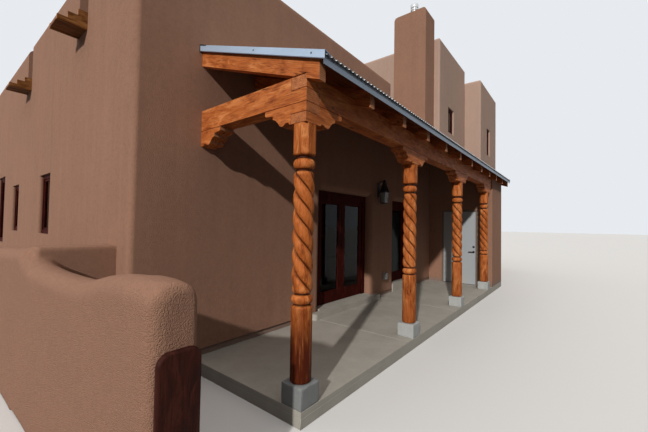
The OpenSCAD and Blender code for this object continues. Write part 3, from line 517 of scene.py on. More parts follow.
def mineral_group():
    """Plaster, concrete and roofing: blotches, streaks, sand, pebbles and pits"""
    if "mineral_coat" in bpy.data.node_groups:
        return bpy.data.node_groups["mineral_coat"]
    t, i, out = new_group(
        "mineral_coat",
        [("Place", VECTOR, None), ("Colour", COLOUR, None), ("Sand", NUMBER, 170.0), ("Blotch", NUMBER, 0.5),
         ("Streak", NUMBER, 0.3), ("Speckle", NUMBER, 0.3), ("Pits", NUMBER, 0.0)],
        [("Colour", COLOUR), ("Roughness", NUMBER), ("Height", NUMBER), ("Broad", NUMBER)])
    place, grains = i["Place"], i["Sand"]
    broad = cloud(t, place, 0.55)
    mid = cloud(t, place, 3.1, 5.0, 0.6)
    streak = fibres(t, place, 7.5, 0.42, 4.0, 0.6)
    sand = cloud(t, place, grains, 3.0, 0.65)
    coarse = cloud(t, place, times(t, grains, 0.28), 2.0, 0.5)
    pebble = cells(t, place, times(t, grains, 1.5), {"feature": "SMOOTH_F1"}, Smoothness=0.4)["Distance"]
    pit = times(t, span(t, cells(t, place, times(t, grains, 0.35))["Distance"], 0.16, 0.06), i["Pits"])
    shade = times(t, minus(t, plus(t, broad, mid), 1.0), i["Blotch"])
    shade = plus(t, shade, times(t, minus(t, streak, 0.5), i["Streak"]))
    shade = plus(t, shade, times(t, minus(t, sand, 0.5), i["Speckle"]))
    shade = plus(t, shade, times(t, minus(t, coarse, 0.5), times(t, i["Speckle"], 0.6)))
    bright = put(t, "ShaderNodeVectorMath", {"operation": "SCALE"}, _0=i["Colour"], Scale=plus(t, 1.0, shade))
    relief = minus(t, times(t, sand, 0.6), times(t, pebble, 0.7))
    relief = plus(t, relief, times(t, coarse, 0.25))
    feed(t, out, Colour=tint(t, pit, bright.outputs[0], (0.03, 0.02, 0.015)),
         Roughness=plus(t, 0.82, times(t, mid, 0.16)), Height=minus(t, relief, pit), Broad=broad)
    return t


# Materials


def start_material(name):
    """Empty material with its Principled shader"""
    mat = bpy.data.materials.new(name)
    mat.use_nodes = True
    tree = mat.node_tree
    tree.nodes.clear()
    shader = tree.nodes.new("ShaderNodeBsdfPrincipled")
    tree.links.new(shader.outputs[0], tree.nodes.new("ShaderNodeOutputMaterial").inputs[0])
    return mat, tree, shader


def cached(maker):
    """Makes a material once, under the name of its function"""
    def get():
        name = maker.__name__
        return bpy.data.materials.get(name) or maker(name)
    return get


def wood_material(name, stains, knots=1.0, checks=1.0, run=None, depth=0.003, shine=0.22):
    """Timber in its pale, main and dark colour; run gives the grain where the mesh doesn't carry it"""
    mat, t, shader = start_material(name)
    grain = run(t) if run else put(t, "ShaderNodeAttribute", {"attribute_name": "grain"}).outputs["Vector"]
    pale, warm, deep = ((*c, 1) for c in stains)
    wood = put(t, "ShaderNodeGroup", {"node_tree": timber_group()}, Grain=grain, Groove=mark(t, "groove"),
               Stain=mark(t, "stain"), End=mark(t, "end"), Pale=pale, Warm=warm, Deep=deep, Knots=knots,
               Checks=checks).outputs
    feed(t, shader, Base_Color=wood["Colour"], Roughness=wood["Roughness"],
         Normal=bump(t, 0.6, depth, wood["Height"]), Specular_IOR_Level=shine)
    return mat


def portal_stains(share=1.0):
    s = bpy.context.scene.house_timber
    return [Vector(c) * share for c in (s.pale, s.warm, s.deep)]


@cached
def portal_timber(name):
    return wood_material(name, portal_stains())


# roof boards at 0.45 of the portal's stain colours: painted shade under the roof
@cached
def board_timber(name):
    return wood_material(name, portal_stains(0.45), shine=0.1)


@cached
def post_timber(name):
    return wood_material(name, portal_stains(), knots=0.0, shine=0.12)


@cached
def spout_timber(name):
    grey_brown = ((0.40, 0.185, 0.06), (0.24, 0.10, 0.03), (0.07, 0.022, 0.005))
    return wood_material(name, grey_brown, knots=0.0, shine=0.1)


@cached
def joinery_wood(name):
    stain = Vector(bpy.context.scene.house_joinery.stain)
    return wood_material(name, (stain * 1.7, stain, stain * 0.35), knots=0.0, checks=0.25, run=own_place,
                         depth=0.0012, shine=0.03)


@cached
def gate_wood(name):
    dark_red = ((0.07, 0.018, 0.010), (0.035, 0.0075, 0.0045), (0.014, 0.0035, 0.002))
    return wood_material(name, dark_red, knots=0.5, shine=0.1)


def mineral_material(name, colour, sand, blotch, streak, speckle, relief, pits=0.0, foot=None):
    """Stucco, concrete or roofing; foot is the height under which a bare footing shows"""
    mat, t, shader = start_material(name)
    place = own_place(t)
    coat = put(t, "ShaderNodeGroup", {"node_tree": mineral_group()}, Place=place, Colour=(*colour, 1),
               Sand=sand, Blotch=blotch, Streak=streak, Speckle=speckle, Pits=pits).outputs
    shade = coat["Colour"]
    if foot:
        z = height_of(t, place)
        rise = plus(t, z, times(t, coat["Broad"], 0.35))
        shade = tint(t, span(t, rise, 0.62, 0.22, 0.0, 0.25), shade, (0.16, 0.092, 0.065))
        shade = tint(t, times(t, calc(t, "LESS_THAN", z, foot), 0.7), shade, (0.22, 0.165, 0.14))
    # the stain mark darkens toward grey: on the corner block partly damp, partly painted shade
    feed(t, shader, Base_Color=tint(t, mark(t, "stain"), shade, (0.10, 0.11, 0.11)),
         Roughness=coat["Roughness"], Normal=bump(t, 0.75, relief, coat["Height"]), Specular_IOR_Level=0.25)
    return mat


@cached
def house_stucco(name):
    s = bpy.context.scene.house_stucco
    return mineral_material(name, s.colour, s.sand, 0.2, 0.26, 0.46, s.relief, foot=HOME.z + 0.087)


@cached
def pale_stucco(name):
    s = bpy.context.scene.house_stucco
    return mineral_material(name, s.pale, s.sand, 0.12, 0.16, 0.3, s.relief)


@cached
def patio_stucco(name):
    s = bpy.context.scene.house_stucco
    return mineral_material(name, Vector(s.colour) * 1.02, s.sand * 1.15, 0.14, 0.05, 0.42, s.relief * 1.7)


@cached
def slab_concrete(name):
    colour = bpy.context.scene.house_concrete.colour
    return mineral_material(name, colour, 90.0, 0.42, 0.0, 0.16, 0.0012, pits=0.1)


@cached
def block_concrete(name):
    colour = bpy.context.scene.house_concrete.block
    return mineral_material(name, colour, 130.0, 0.45, 0.25, 0.30, 0.0035, pits=0.7)


@cached
def mineral_roofing(name):
    return mineral_material(name, (0.24, 0.225, 0.21), 240.0, 0.35, 0.0, 0.55, 0.003)


@cached
def galvanized_sheet(name):
    mat, t, shader = start_material(name)
    place = own_place(t)
    metal = Vector(bpy.context.scene.house_roof.metal)
    spangle = red(t, cells(t, place, 75.0)["Color"])
    dull = cloud(t, place, 2.4, 5.0, 0.6)
    colour = tint(t, times(t, spangle, 0.35), metal, metal * 1.25)
    colour = tint(t, span(t, dull, 0.45, 0.75, 0.0, 0.4), colour, metal * 0.6)
    feed(t, shader, Base_Color=colour, Roughness=plus(t, times(t, spangle, 0.12), times(t, dull, 0.35)),
         Metallic=0.2, Normal=bump(t, 0.25, 0.001, plus(t, dull, times(t, spangle, 0.2))))
    return mat


# bent trim: its blue is a painted sky reflection; the stain mark gives the screw heads their own dark, and
# darkens the eave strip as painted shade
@cached
def bent_trim(name):
    mat, t, shader = start_material(name)
    metal = Vector(bpy.context.scene.house_roof.trim)
    dull = cloud(t, stretch(t, own_place(t), 2.0, 2.0, 9.0), 1.0, 5.0, 0.6)
    shade = tint(t, span(t, dull, 0.4, 0.75, 0.0, 0.5), metal, metal * 0.78)
    feed(t, shader, Base_Color=tint(t, mark(t, "stain"), shade, metal * 0.16),
         Roughness=plus(t, 0.30, times(t, dull, 0.25)), Metallic=0.3, Normal=bump(t, 0.25, 0.0015, dull))
    return mat


@cached
def black_iron(name):
    mat, t, shader = start_material(name)
    place = own_place(t)
    worn = span(t, cloud(t, place, 28.0, 4.0, 0.6), 0.55, 0.75)
    feed(t, shader, Base_Color=tint(t, worn, (0.010, 0.009, 0.0085), (0.035, 0.024, 0.018)),
         Roughness=plus(t, 0.42, times(t, worn, 0.3)), Metallic=0.1,
         Normal=bump(t, 0.35, 0.0008, cloud(t, place, 140.0, 3.0, 0.6)))
    return mat


@cached
def door_paint(name):
    mat, t, shader = start_material(name)
    white = Vector(bpy.context.scene.house_joinery.white)
    place = own_place(t)
    grime = cloud(t, stretch(t, place, 5, 5, 1.2), 1.0, 5.0, 0.6)
    low = span(t, height_of(t, place), HOME.z + 0.5, HOME.z, 0.0, 0.5)
    mask = times(t, span(t, grime, 0.42, 0.72), plus(t, low, 0.18))
    orange_peel = cloud(t, place, 320.0, 2.0, 0.5)
    feed(t, shader, Base_Color=tint(t, mask, white, (0.42, 0.38, 0.33)),
         Roughness=plus(t, 0.34, times(t, grime, 0.16)), Normal=bump(t, 0.2, 0.0005, orange_peel))
    return mat


def dusty_material(name, colour, dusted):
    """Plain coat under some dust"""
    mat, t, shader = start_material(name)
    dust = cloud(t, own_place(t), 30.0, 4.0, 0.6)
    feed(t, shader, Base_Color=tint(t, span(t, dust, 0.4, 0.8), colour, dusted),
         Roughness=plus(t, 0.4, times(t, dust, 0.3)))
    return mat


# near-black foam: partly painted shade inside the ribs
@cached
def closure_foam(name):
    return dusty_material(name, (0.006, 0.006, 0.007), (0.014, 0.013, 0.012))


@cached
def grey_cover(name):
    return dusty_material(name, (0.26, 0.27, 0.28), (0.36, 0.33, 0.29))


@cached
def frame_paint(name):
    return dusty_material(name, (0.13, 0.09, 0.062), (0.19, 0.14, 0.10))


@cached
def door_glass(name):
    mat, t, shader = start_material(name)
    place = own_place(t)
    film = cloud(t, place, 6.0, 4.0, 0.6)
    feed(t, shader, Base_Color=tint(t, span(t, film, 0.4, 0.8), (0.05, 0.06, 0.06), (0.08, 0.085, 0.08)),
         Roughness=span(t, film, 0.5, 0.8, 0.01, 0.05), Transmission_Weight=1.0, IOR=1.18,
         Normal=bump(t, 0.05, 0.002, cloud(t, place, 1.7, 1.0, 0.4)))
    return mat


@cached
def lamp_glass(name):
    mat, t, shader = start_material(name)
    seeds = cloud(t, own_place(t), 60.0, 3.0, 0.6)
    feed(t, shader, Base_Color=tint(t, seeds, (0.30, 0.31, 0.30), (0.52, 0.51, 0.47)), Roughness=0.25,
         Transmission_Weight=0.55, Normal=bump(t, 0.4, 0.002, seeds))
    return mat


# Pieces


def dress(finish, *nodes):
    """Gives kept nodes their finish"""
    for node in nodes:
        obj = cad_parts[node]
        if not obj.material_slots:
            obj.data.materials.append(finish)
        for slot in obj.material_slots:
            slot.material = finish


def soften(width, rounds, *nodes):
    """Rounds the edges of kept nodes with modifiers"""
    for node in nodes:
        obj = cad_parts[node]
        obj.modifiers.new("join", "WELD").merge_threshold = 0.0002
        bevel = obj.modifiers.new("edges", "BEVEL")
        bevel.width = width
        bevel.segments = rounds
        bevel.limit_method = "ANGLE"
        bevel.angle_limit = math.radians(34)
        obj.modifiers.new("even_shading", "WEIGHTED_NORMAL")


def part_box(node):
    """Lowest and highest corner of a node, from HOME"""
    return [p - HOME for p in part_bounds(node)]


class HOUSE_OT_stucco(Operator):
    """Dress the walls, chimney and store with float-finished stucco"""

    bl_idname = "house.stucco"
    bl_label = "Stucco Walls"

    def execute(self, context):
        dress(house_stucco(), "east_wall_near", "east_wall_pier", "east_wall_far", "door_lintel_walls",
              "south_wall", "west_wall", "north_wall", "chimney", "store_walls")
        dress(pale_stucco(), "rear_east_wall", "rear_south_wall", "rear_west_wall", "far_walls")
        return {"FINISHED"}


# Strands of the spiral
STARTS = 3
# Turn of each post's spiral at the height SPIRAL_FROM, in degrees, and how far its lower bead is dropped
PHASES = ((23, 0.015), (77, 0.0), (108, 0.0), (28, 0.0))
# How much darker each post's foot is made, and how fast that fades upward: damp on every post, and on the
# corner post partly painted shade
FOOT_DARKENING = ((1.15, 0.8), (0.4, 1.1), (0.35, 1.1), (0.3, 1.1))
SPIRAL_FROM, SPIRAL_TO = 1.012, 2.132
# Middle and height of the beads under and over the spiral, and where the head is at its full width and ends
LOW_BEAD, LOW_BEAD_HIGH = 0.9625, 0.085
HIGH_BEAD, HIGH_BEAD_HIGH = 2.195, 0.096
HEAD_LOW, HEAD_TOP = 2.30, 2.5665
# Half the width of the square head, and how far its corners are cut back
HEAD_HALF, HEAD_CUT = 0.095, 0.043
# Degrees from a groove at which each strand has its points, and half the width of a strand
STRAND = (0, 1.5, 3.2, 5.4, 8.2, 12, 17, 24, 33, 45)
STRAND_HALF = 180.0 / STARTS
# Length over which the strands run out at each end of the spiral
RUN_OUT = 0.055
# Angles of the points round the turned parts
ROUND = full_turn(72)


def turned(rows):
    """Rings and groove marks of a turned part, from the height, radius and mark of each row"""
    rings = [[(r * math.cos(a), r * math.sin(a), z) for a in ROUND] for z, r, _ in rows]
    return rings, [[m] * len(ROUND) for _, _, m in rows]


def cos_sin(degrees):
    return math.cos(math.radians(degrees)), math.sin(math.radians(degrees))


def bead(z, height, radius, deep):
    """Rows of a round bead between two necks, its middle at z"""
    rows = []
    for a in range(0, 181, 12):
        c, q = cos_sin(a)
        # the necks carry the groove mark: grime and painted shade
        rows.append((z - height / 2 * c, deep + (radius + 0.003 - deep) * q ** 0.9, max(0.0, 1.0 - q * 2.6)))
    return rows


def post_foot(radius, deep, drop):
    """Foot with a worn lower edge, its shoulder, the lower bead and the necks"""
    worn, shoulder = 0.024, 0.03
    rows = []
    for a in range(0, 91, 18):
        c, q = cos_sin(a)
        rows.append((BLOCK_TOP + worn * (1 - c), radius - worn * (1 - q), 0.0))
    # these rows only carry the damp, which fades upward
    rows += [(z, radius, 0.0) for z in (0.3, 0.45, 0.6, 0.75, 0.84)]
    for a in range(0, 91, 15):
        c, q = cos_sin(a)
        rows.append((0.912 - drop - shoulder * (1 - q), deep + (radius - deep) * c, max(0.0, q ** 3 - 0.1)))
    rows += [(0.919 - drop, deep, 1.0)] + bead(LOW_BEAD - drop, LOW_BEAD_HIGH, radius, deep)
    return turned(rows + [(1.007 - drop, deep, 1.0), (1.022 - drop, deep - 0.004, 1.0)])


def strand_cut(d):
    """How deep the carving goes d degrees from a groove: a slit, a flank and the round of the strand"""
    slit = 0.18 * max(0.0, 1 - d / 9.0) ** 1.2
    flank = 0.3 * (1 - math.sqrt(1 - (0.985 * (1 - d / STRAND_HALF)) ** 2))
    return slit + flank + 1.04 * (1 - math.cos(math.radians(STRAND_HALF - d)))


def post_spiral(s, deep, phase, drop):
    """Shaft with three spiral strands that run out at its ends, carved a little unevenly"""
    low, high, lap = SPIRAL_FROM - drop, SPIRAL_TO, 2 * STRAND_HALF
    side = [*STRAND, STRAND_HALF] + [lap - b for b in STRAND[:0:-1]]
    offsets = [a + lap * k for k in range(STARTS) for a in side]
    rings, marks = [], []
    for i in range(s.rows + 1):
        z = low + (high - low) * i / s.rows
        inner = min(1.0, (z - low) / RUN_OUT, (high - z) / RUN_OUT)
        body = deep + (s.radius - deep) * math.sqrt(max(0.0, 1 - (1 - inner) ** 2))
        swirl = -2 * math.pi * (z - SPIRAL_FROM) / s.lead + math.radians(phase)
        ring, mark_row = [], []
        for a in offsets:
            d = min(a % lap, lap - a % lap)
            start = round(a / lap) % STARTS
            hand = noise.noise(Vector((start * 7.3 + phase, z * 5.0, 0.0)))
            r = body - s.groove * strand_cut(d) * (0.2 + 0.8 * inner) * (1 + 0.22 * hand)
            c, q = cos_sin(a)
            r += 0.0014 * noise.noise(Vector((c * 2 + phase, q * 2, z * 7)))
            t = math.radians(a + 2.2 * hand) + swirl
            ring.append((r * math.cos(t), r * math.sin(t), z))
            # groove mark: grime and painted shade along each groove and where the strands run out
            mark_row.append(max(max(0.0, 1 - d / 19.0) ** 1.5, max(0.0, 1 - inner * 3.6)))
        rings.append(ring)
        marks.append(mark_row)
    return rings, marks


def post_head(deep):
    """Square head with cut corners, swelling out of the neck"""
    # height, share of the full width, and groove mark of each ring
    levels = ((2.266, 0.0, 1.0), (2.269, 0.3, 0.8), (2.274, 0.6, 0.45), (2.281, 0.83, 0.15),
              (2.29, 0.96, 0.0), (HEAD_LOW, 1.0, 0.0), (HEAD_TOP, 1.0, 0.0))
    reach = []
    for a in ROUND:
        c, q = abs(math.cos(a)), abs(math.sin(a))
        sides = HEAD_HALF / max(c, 1e-6), HEAD_HALF / max(q, 1e-6)
        reach.append(min(*sides, (2 * HEAD_HALF - HEAD_CUT) / (c + q)))
    rings = []
    for z, share, _ in levels:
        radii = [deep + (r - deep) * share for r in reach]
        rings.append([(r * math.cos(a), r * math.sin(a), z) for r, a in zip(radii, ROUND)])
    return rings, [[m] * len(ROUND) for _, _, m in levels]


def post_parts(s, phase, drop):
    """Foot, spiral shaft, upper bead and head of one post"""
    deep = s.radius - s.groove
    upper = [(2.122, deep - 0.004, 1.0), (2.142, deep, 1.0)]
    upper += bead(HIGH_BEAD, HIGH_BEAD_HIGH, s.radius, deep)
    upper += [(2.248, deep, 1.0), (2.285, deep - 0.003, 1.0)]
    return post_foot(s.radius, deep, drop), post_spiral(s, deep, phase, drop), turned(upper), post_head(deep)


class HOUSE_OT_posts(Operator):
    """Build the turned and spiral-carved posts"""

    bl_idname = "house.posts"
    bl_label = "Carved Posts"

    def execute(self, context):
        shape = Shape(11)
        for y, (phase, drop), (darken, fade) in zip(POST_YS, PHASES, FOOT_DARKENING):
            for rings, marks in post_parts(context.scene.house_posts, phase, drop):
                shape.take(ring_mesh(rings, marks), move(POST_X, y, 0), ends=0.0,
                           stain=lambda p: darken * max(0.0, min(1.0, (0.95 - p.z) / 0.6)) ** fade)
        shape.piece("turned_posts", post_timber(), "timber", nodes=("portal_posts",), smooth=50, even=False)
        return {"FINISHED"}


# Reach of a corbel from the middle of its post
CORBEL_REACH = 0.46


def corbel_outline():
    """Half of a corbel from the middle of its post, its top a seam under the beam"""
    # radius and middle of the lobe, reach of the nose over it, and heights of the nose and of the top
    r, at, nose, low, top = 0.052, 0.216, 0.345, 0.1216, 0.19 - SEAM
    pts = [(0, 0), (0.115, 0), (0.129, 0.024)] + arc(at, r, r, 215, 340, 14)
    steps = 8
    for i in range(1, steps + 1):
        t = i / steps
        rise = 0.66 * r + r * math.sin(math.radians(90 * t))
        pts.append((at + 0.94 * r + (nose - at - 0.94 * r) * t, rise))
    pts += [(nose, low), (0.448, low + 0.012), (CORBEL_REACH, low + 0.026)]
    return pts + [(CORBEL_REACH, top), (0, top)]


class HOUSE_OT_corbels(Operator):
    """Build the carved corbels on the posts and on the wall"""

    bl_idname = "house.corbels"
    bl_label = "Corbels"

    def execute(self, context):
        shape = Shape(23)
        arm = corbel_outline()
        top, edge, half = arm[-1][1], 0.004, BEAM_HALF

        def along_y(line, y, worn):
            place = move(POST_X - half, y, CORBEL_LOW) @ UP_Y
            shape.take(prism_mesh(line, BEAM_WIDE, worn), place, "x", ends=0.4)

        def along_x(line, x, worn, ends):
            place = move(x, POST_YS[0] + half, CORBEL_LOW) @ UP_X
            shape.take(prism_mesh(line, BEAM_WIDE, worn), place, "x", ends=ends)

        both = arm + [(-x, z) for x, z in arm[::-1] if x > 0]
        for y in POST_YS[1:-1]:
            along_y(both, y, edge)
        # the last corbel stops at the store's wall
        room = STORE_SOUTH - POST_YS[-1]
        short = [(min(x, room), z) for x, z in both]
        short = [p for i, p in enumerate(short) if i == 0 or (Vector(p) - Vector(short[i - 1])).length > 1e-5]
        along_y(short, POST_YS[-1], edge)
        # corner post: the arm along the long beam takes the lower half of the crossing
        under, over = 0.095 - SEAM / 2, 0.095 + SEAM / 2
        long_arm = [(-half, 0), *arm[1:-1], (half + SEAM, top), (half + SEAM, under), (-half, under)]
        along_y(long_arm, POST_YS[0], edge * 0.6)
        carved = [(-x, z) for x, z in arm[-3:0:-1] if x > half]
        end_arm = [(half, over), (half, top), (-CORBEL_REACH, top), *carved, (-half - SEAM, 0.0),
                   (-half - SEAM, over)]
        along_x(end_arm, POST_X, edge * 0.6, 0.4)
        # the corbel on the wall shows the same carving, a little shorter
        into_wall = 0.065
        kept = [(x - into_wall, z) for x, z in arm if x - into_wall > 0]
        along_x([(0, 0), *kept, (0, top)], 0, edge, 1.0)
        shape.piece("carved_corbels", portal_timber(), "timber", nodes=("corbels",))
        return {"FINISHED"}


class HOUSE_OT_beams(Operator):
    """Build the end beam and the long beam, halved at the corner"""

    bl_idname = "house.beams"
    bl_label = "Portal Beams"

    def execute(self, context):
        worn = context.scene.house_timber.edge * 0.7
        shape = Shape(5)
        middle, gap = 2.885, SEAM / 2
        end = [(0, BEAM_LOW), (BEAM_OUT, BEAM_LOW), (BEAM_OUT, middle - gap), (BEAM_IN - SEAM, middle - gap),
               (BEAM_IN - SEAM, BEAM_TOP), (0, BEAM_TOP)]
        shape.take(prism_mesh(end, BEAM_WIDE, worn), move(0, END_NORTH, 0) @ UP_X, "x", ends=0.45)
        long = [(END_SOUTH, middle + gap), (END_NORTH + SEAM, middle + gap), (END_NORTH + SEAM, BEAM_LOW),
                (STORE_SOUTH, BEAM_LOW), (STORE_SOUTH, BEAM_TOP), (END_SOUTH, BEAM_TOP)]
        shape.take(prism_mesh(long, BEAM_WIDE, worn), move(BEAM_IN, 0, 0) @ UP_Y, "x", ends=0.45)
        shape.piece("halved_beams", portal_timber(), "timber", nodes=("portal_beams",))
        return {"FINISHED"}


def rafter_low(x):
    """Height of the rafters' lower edge at the distance x from the wall"""
    return 2.957 + SLOPE * (BEAM_OUT - x)


def rafter_top(x):
    return rafter_low(x) + RAFTER_DEEP


class HOUSE_OT_rafters(Operator):
    """Build the rafters and the boards over them"""

    bl_idname = "house.rafters"
    bl_label = "Rafters and Roof Boards"

    def execute(self, context):
        edge = context.scene.house_timber.edge
        shape = Shape(31)
        # each rafter is notched over the long beam; the first, in the open end, has a shorter tail
        seat = BEAM_OUT - 0.053 / SLOPE
        wide, first, pitch, count = 0.09, 0.858, 0.825, 12
        for k in range(count):
            tail = 1.91 if k else 1.883
            outline = [(0, rafter_low(0)), (seat, BEAM_TOP), (BEAM_OUT, BEAM_TOP),
                       (BEAM_OUT, rafter_low(BEAM_OUT)), (tail, rafter_low(tail)), (tail, rafter_top(tail)),
                       (0, rafter_top(0))]
            rafter = prism_mesh(outline, wide, edge * 0.7, sharp=15)
            # the tails' cut ends take the full pale end grain: partly painted light
            shape.take(rafter, move(0, first + pitch * k, 0) @ UP_X, "x", lean=math.atan(SLOPE))
        shape.piece("sloping_rafters", portal_timber(), "timber", nodes=("rafters",))
        boards = Shape(37)
        reach, count, lift, thick, length, north = 1.958, 15, 0.1843, 0.0255, 9.221, 9.961
        for k in range(count):
            x0, x1 = reach * k / count, reach * (k + 1) / count - 0.0015
            low0, low1 = rafter_low(x0) + lift, rafter_low(x1) + lift
            quad = [(x0, low0), (x1, low1), (x1, low1 + thick), (x0, low0 + thick)]
            boards.take(prism_mesh(quad, length, 0.004, 1), move(0, north, 0) @ UP_X)
        boards.piece("tongued_boards", board_timber(), "timber", nodes=("roof_boards",))
        return {"FINISHED"}


# Ends of the ribbed sheets, of the bent trim over them, and points to a rib
SHEET_SOUTH, SHEET_NORTH = 0.741, 9.960
RAKE_SOUTH, RAKE_NORTH = 0.728, 9.973
PER_RIB = 10
# Radius and height of a roofing screw's head with its washer
SCREW = [(0.0095, 0.0), (0.0095, 0.0012), (0.0055, 0.0018), (0.0055, 0.0045), (0.0001, 0.0062)]


def sheet_z(x):
    return rafter_top(x) + SHEET_LIFT


def rib_count(s):
    return round((SHEET_NORTH - SHEET_SOUTH) / s.rib)


def rib_points(s):
    """Place along the eave and height of each point of the ribs"""
    steps = rib_count(s) * PER_RIB
    for j in range(steps + 1):
        yield (SHEET_SOUTH + (SHEET_NORTH - SHEET_SOUTH) * j / steps,
               s.depth * (0.5 - 0.5 * math.cos(2 * math.pi * j / PER_RIB)))


def ribbed_sheets(s):
    thick = 0.0009
    steps = rib_count(s) * PER_RIB
    bm = bmesh.new()
    layers = []
    for lift in (0.0, thick):
        layers.append([[bm.verts.new((x, y, sheet_z(x) + 0.0006 + lift + wave)) for y, wave in rib_points(s)]
                       for x in (0.0, 0.65, 1.3, 1.978)])
    lower, upper = layers
    for rows in layers:
        for a, b in zip(rows, rows[1:]):
            for j in range(steps):
                quad = (a[j], b[j], b[j + 1], a[j + 1])
                bm.faces.new(quad if rows is upper else quad[::-1])
    for a, b in ((lower[-1], upper[-1]), (upper[0], lower[0])):
        for j in range(steps):
            bm.faces.new((a[j], a[j + 1], b[j + 1], b[j]))
    sheets = Shape(41).take(bm)
    head = SCREW[:-1] + [(0.003, 0.0062), (0.0001, 0.0065)]
    lean = Matrix.Rotation(math.atan(SLOPE), 4, "Y")
    for x in (0.12, 1.0, 1.86):
        for j in range(1, rib_count(s), 3):
            y = SHEET_SOUTH + (SHEET_NORTH - SHEET_SOUTH) * (j + 0.5) / rib_count(s)
            sheets.take(lathe_mesh(head, 8), move(x, y, sheet_z(x) + 0.0012 + s.depth) @ lean)
    sheets.piece("ribbed_sheets", galvanized_sheet(), "galvanized", nodes=("metal_roof",), smooth=60,
                 even=False)


def rake_and_eave():
    trim = Shape(43)
    # bent sheet at the rakes: kick at the foot, upright face, and a leg over the ribs
    bend = [(0.006, -0.012), (0.0, -0.006), (0.0, 0.0655), (0.02, 0.0655), (0.105, 0.0475), (0.105, 0.0461),
            (0.02, 0.0641), (0.0016, 0.0641), (0.0016, -0.0055), (0.0072, -0.0108)]
    for y, side in ((RAKE_SOUTH, 1), (RAKE_NORTH, -1)):
        rings = [[(x, y + side * d, rafter_top(x) + h) for d, h in bend] for x in (0.0, 0.6, 1.2, 1.97)]
        trim.take(ring_mesh(rings))
        for x in (1.027, 1.818):
            place = move(x, y, rafter_top(x) + 0.03) @ turn(90 * side, "X")
            trim.take(lathe_mesh(SCREW, 10), place, stain=1.0)
    # the eave strip ends low enough to show the ribs above it
    face = [(1.966, -0.0815), (1.960, -0.0785), (1.9585, -0.074), (1.9585, -0.017), (1.964, -0.0165),
            (1.964, -0.0152), (ROOF_OUT, -0.0158), (ROOF_OUT, -0.075), (1.959, -0.0798), (1.9655, -0.0828)]
    foot = rafter_top(1.97) + 0.0263
    ends = (RAKE_SOUTH + 0.0005, 3.0, 6.0, RAKE_NORTH - 0.0005)
    # the eave strip's darkening is painted shade and a painted reflection of dark ground
    trim.take(ring_mesh([[(x, y, foot + h) for x, h in face] for y in ends]), stain=0.8)
    trim.piece("rake_and_eave_trim", bent_trim(), "galvanized", nodes=("roof_flashing",), smooth=30,
               even=False)


def rake_clip():
    """Clip that holds the top of the south rake sheet to the wall"""
    clip = Shape(47)
    top = rafter_top(0) + 0.0655
    fall = SLOPE * 0.137
    leg = [(0.003, top - 0.012), (0.14, top - 0.012 - fall), (0.14, top + 0.004 - fall), (0.003, top + 0.008)]
    clip.take(prism_mesh(leg, 0.012, 0.001, 1), move(0, 0.74, 0) @ UP_X)
    clip.take(box_mesh((0.003, 0.7265, top - 0.085), (0.016, 0.7285, top - 0.004), 0.0))
    clip.piece("rake_clip", black_iron(), "iron")


def eave_closure_painted_shade(s):
    """Strip of near-black foam that fills the ribs at the eave; its black is partly painted shade in the rib
    hollows
    """
    near, low = 1.945, sheet_z(ROOF_OUT) - 0.026
    rings = []
    for y, wave in rib_points(s):
        rings.append([(near, y, low), (ROOF_OUT, y, low), (ROOF_OUT, y, sheet_z(ROOF_OUT) + wave + 0.0002),
                      (near, y, sheet_z(near) + wave + 0.0002)])
    Shape(49).take(ring_mesh(rings)).piece("eave_closure_painted_shade", closure_foam(), "iron", smooth=30, even=False)


class HOUSE_OT_metal_roof(Operator):
    """Build the ribbed metal sheets, their screws, the bent trim, its clip and the eave closure, whose
    near-black is partly painted shade
    """

    bl_idname = "house.metal_roof"
    bl_label = "Metal Roof"

    def execute(self, context):
        s = context.scene.house_roof
        ribbed_sheets(s)
        rake_and_eave()
        rake_clip()
        eave_closure_painted_shade(s)
        return {"FINISHED"}


class HOUSE_OT_spouts(Operator):
    """Build the stepped wooden roof spouts"""

    bl_idname = "house.spouts"
    bl_label = "Roof Spouts"

    def execute(self, context):
        shape = Shape(53)
        out, high, thick, wide, low = 0.33, 0.24, 0.04, 0.385, 4.23
        tread = out / 3
        side = [(0, 0), (-out, 0), (-out, 0.27 * high), (-2 * tread, 0.27 * high), (-2 * tread, 0.63 * high),
                (-tread, 0.63 * high), (-tread, high), (0, high)]
        for middle in (-1.78, -5.16):
            west, east = middle - wide / 2, middle + wide / 2 - thick
            for x in (west, east):
                shape.take(prism_mesh(side, thick, 0.003), move(x, 0, low) @ UP_Y, "x")
            # the tray is made darker than the sides
            tray = box_mesh((west + thick, -out, low + 0.008), (east, 0, low + 0.048), 0.003)
            shape.take(tray, None, "y", stain=0.35)
        shape.piece("stepped_spouts", spout_timber(), "timber", nodes=("roof_spouts",))
        return {"FINISHED"}


def worn_block(low, high, seed):
    """Cast block with worn, slightly uneven edges"""
    edge, chip = 0.009, 0.002
    bm = cube_mesh(low, high, cuts=14)
    low, high = Vector(low), Vector(high)
    middle = (low + high) / 2
    for v in bm.verts:
        p = v.co.copy()
        wear = edge * (0.75 + 0.9 * max(0.0, noise.noise(p * 14 + Vector((seed, 0, 0)))))
        core = Vector([max(low[i] + wear, min(high[i] - wear, p[i])) for i in range(3)])
        out = p - core
        if out.length > 1e-9:
            p = core + out.normalized() * wear
        normal = (p - middle).normalized()
        v.co = p - normal * chip * max(0.0, noise.noise(p * 22 + Vector((0, seed, 3))) + 0.2)
    return bm


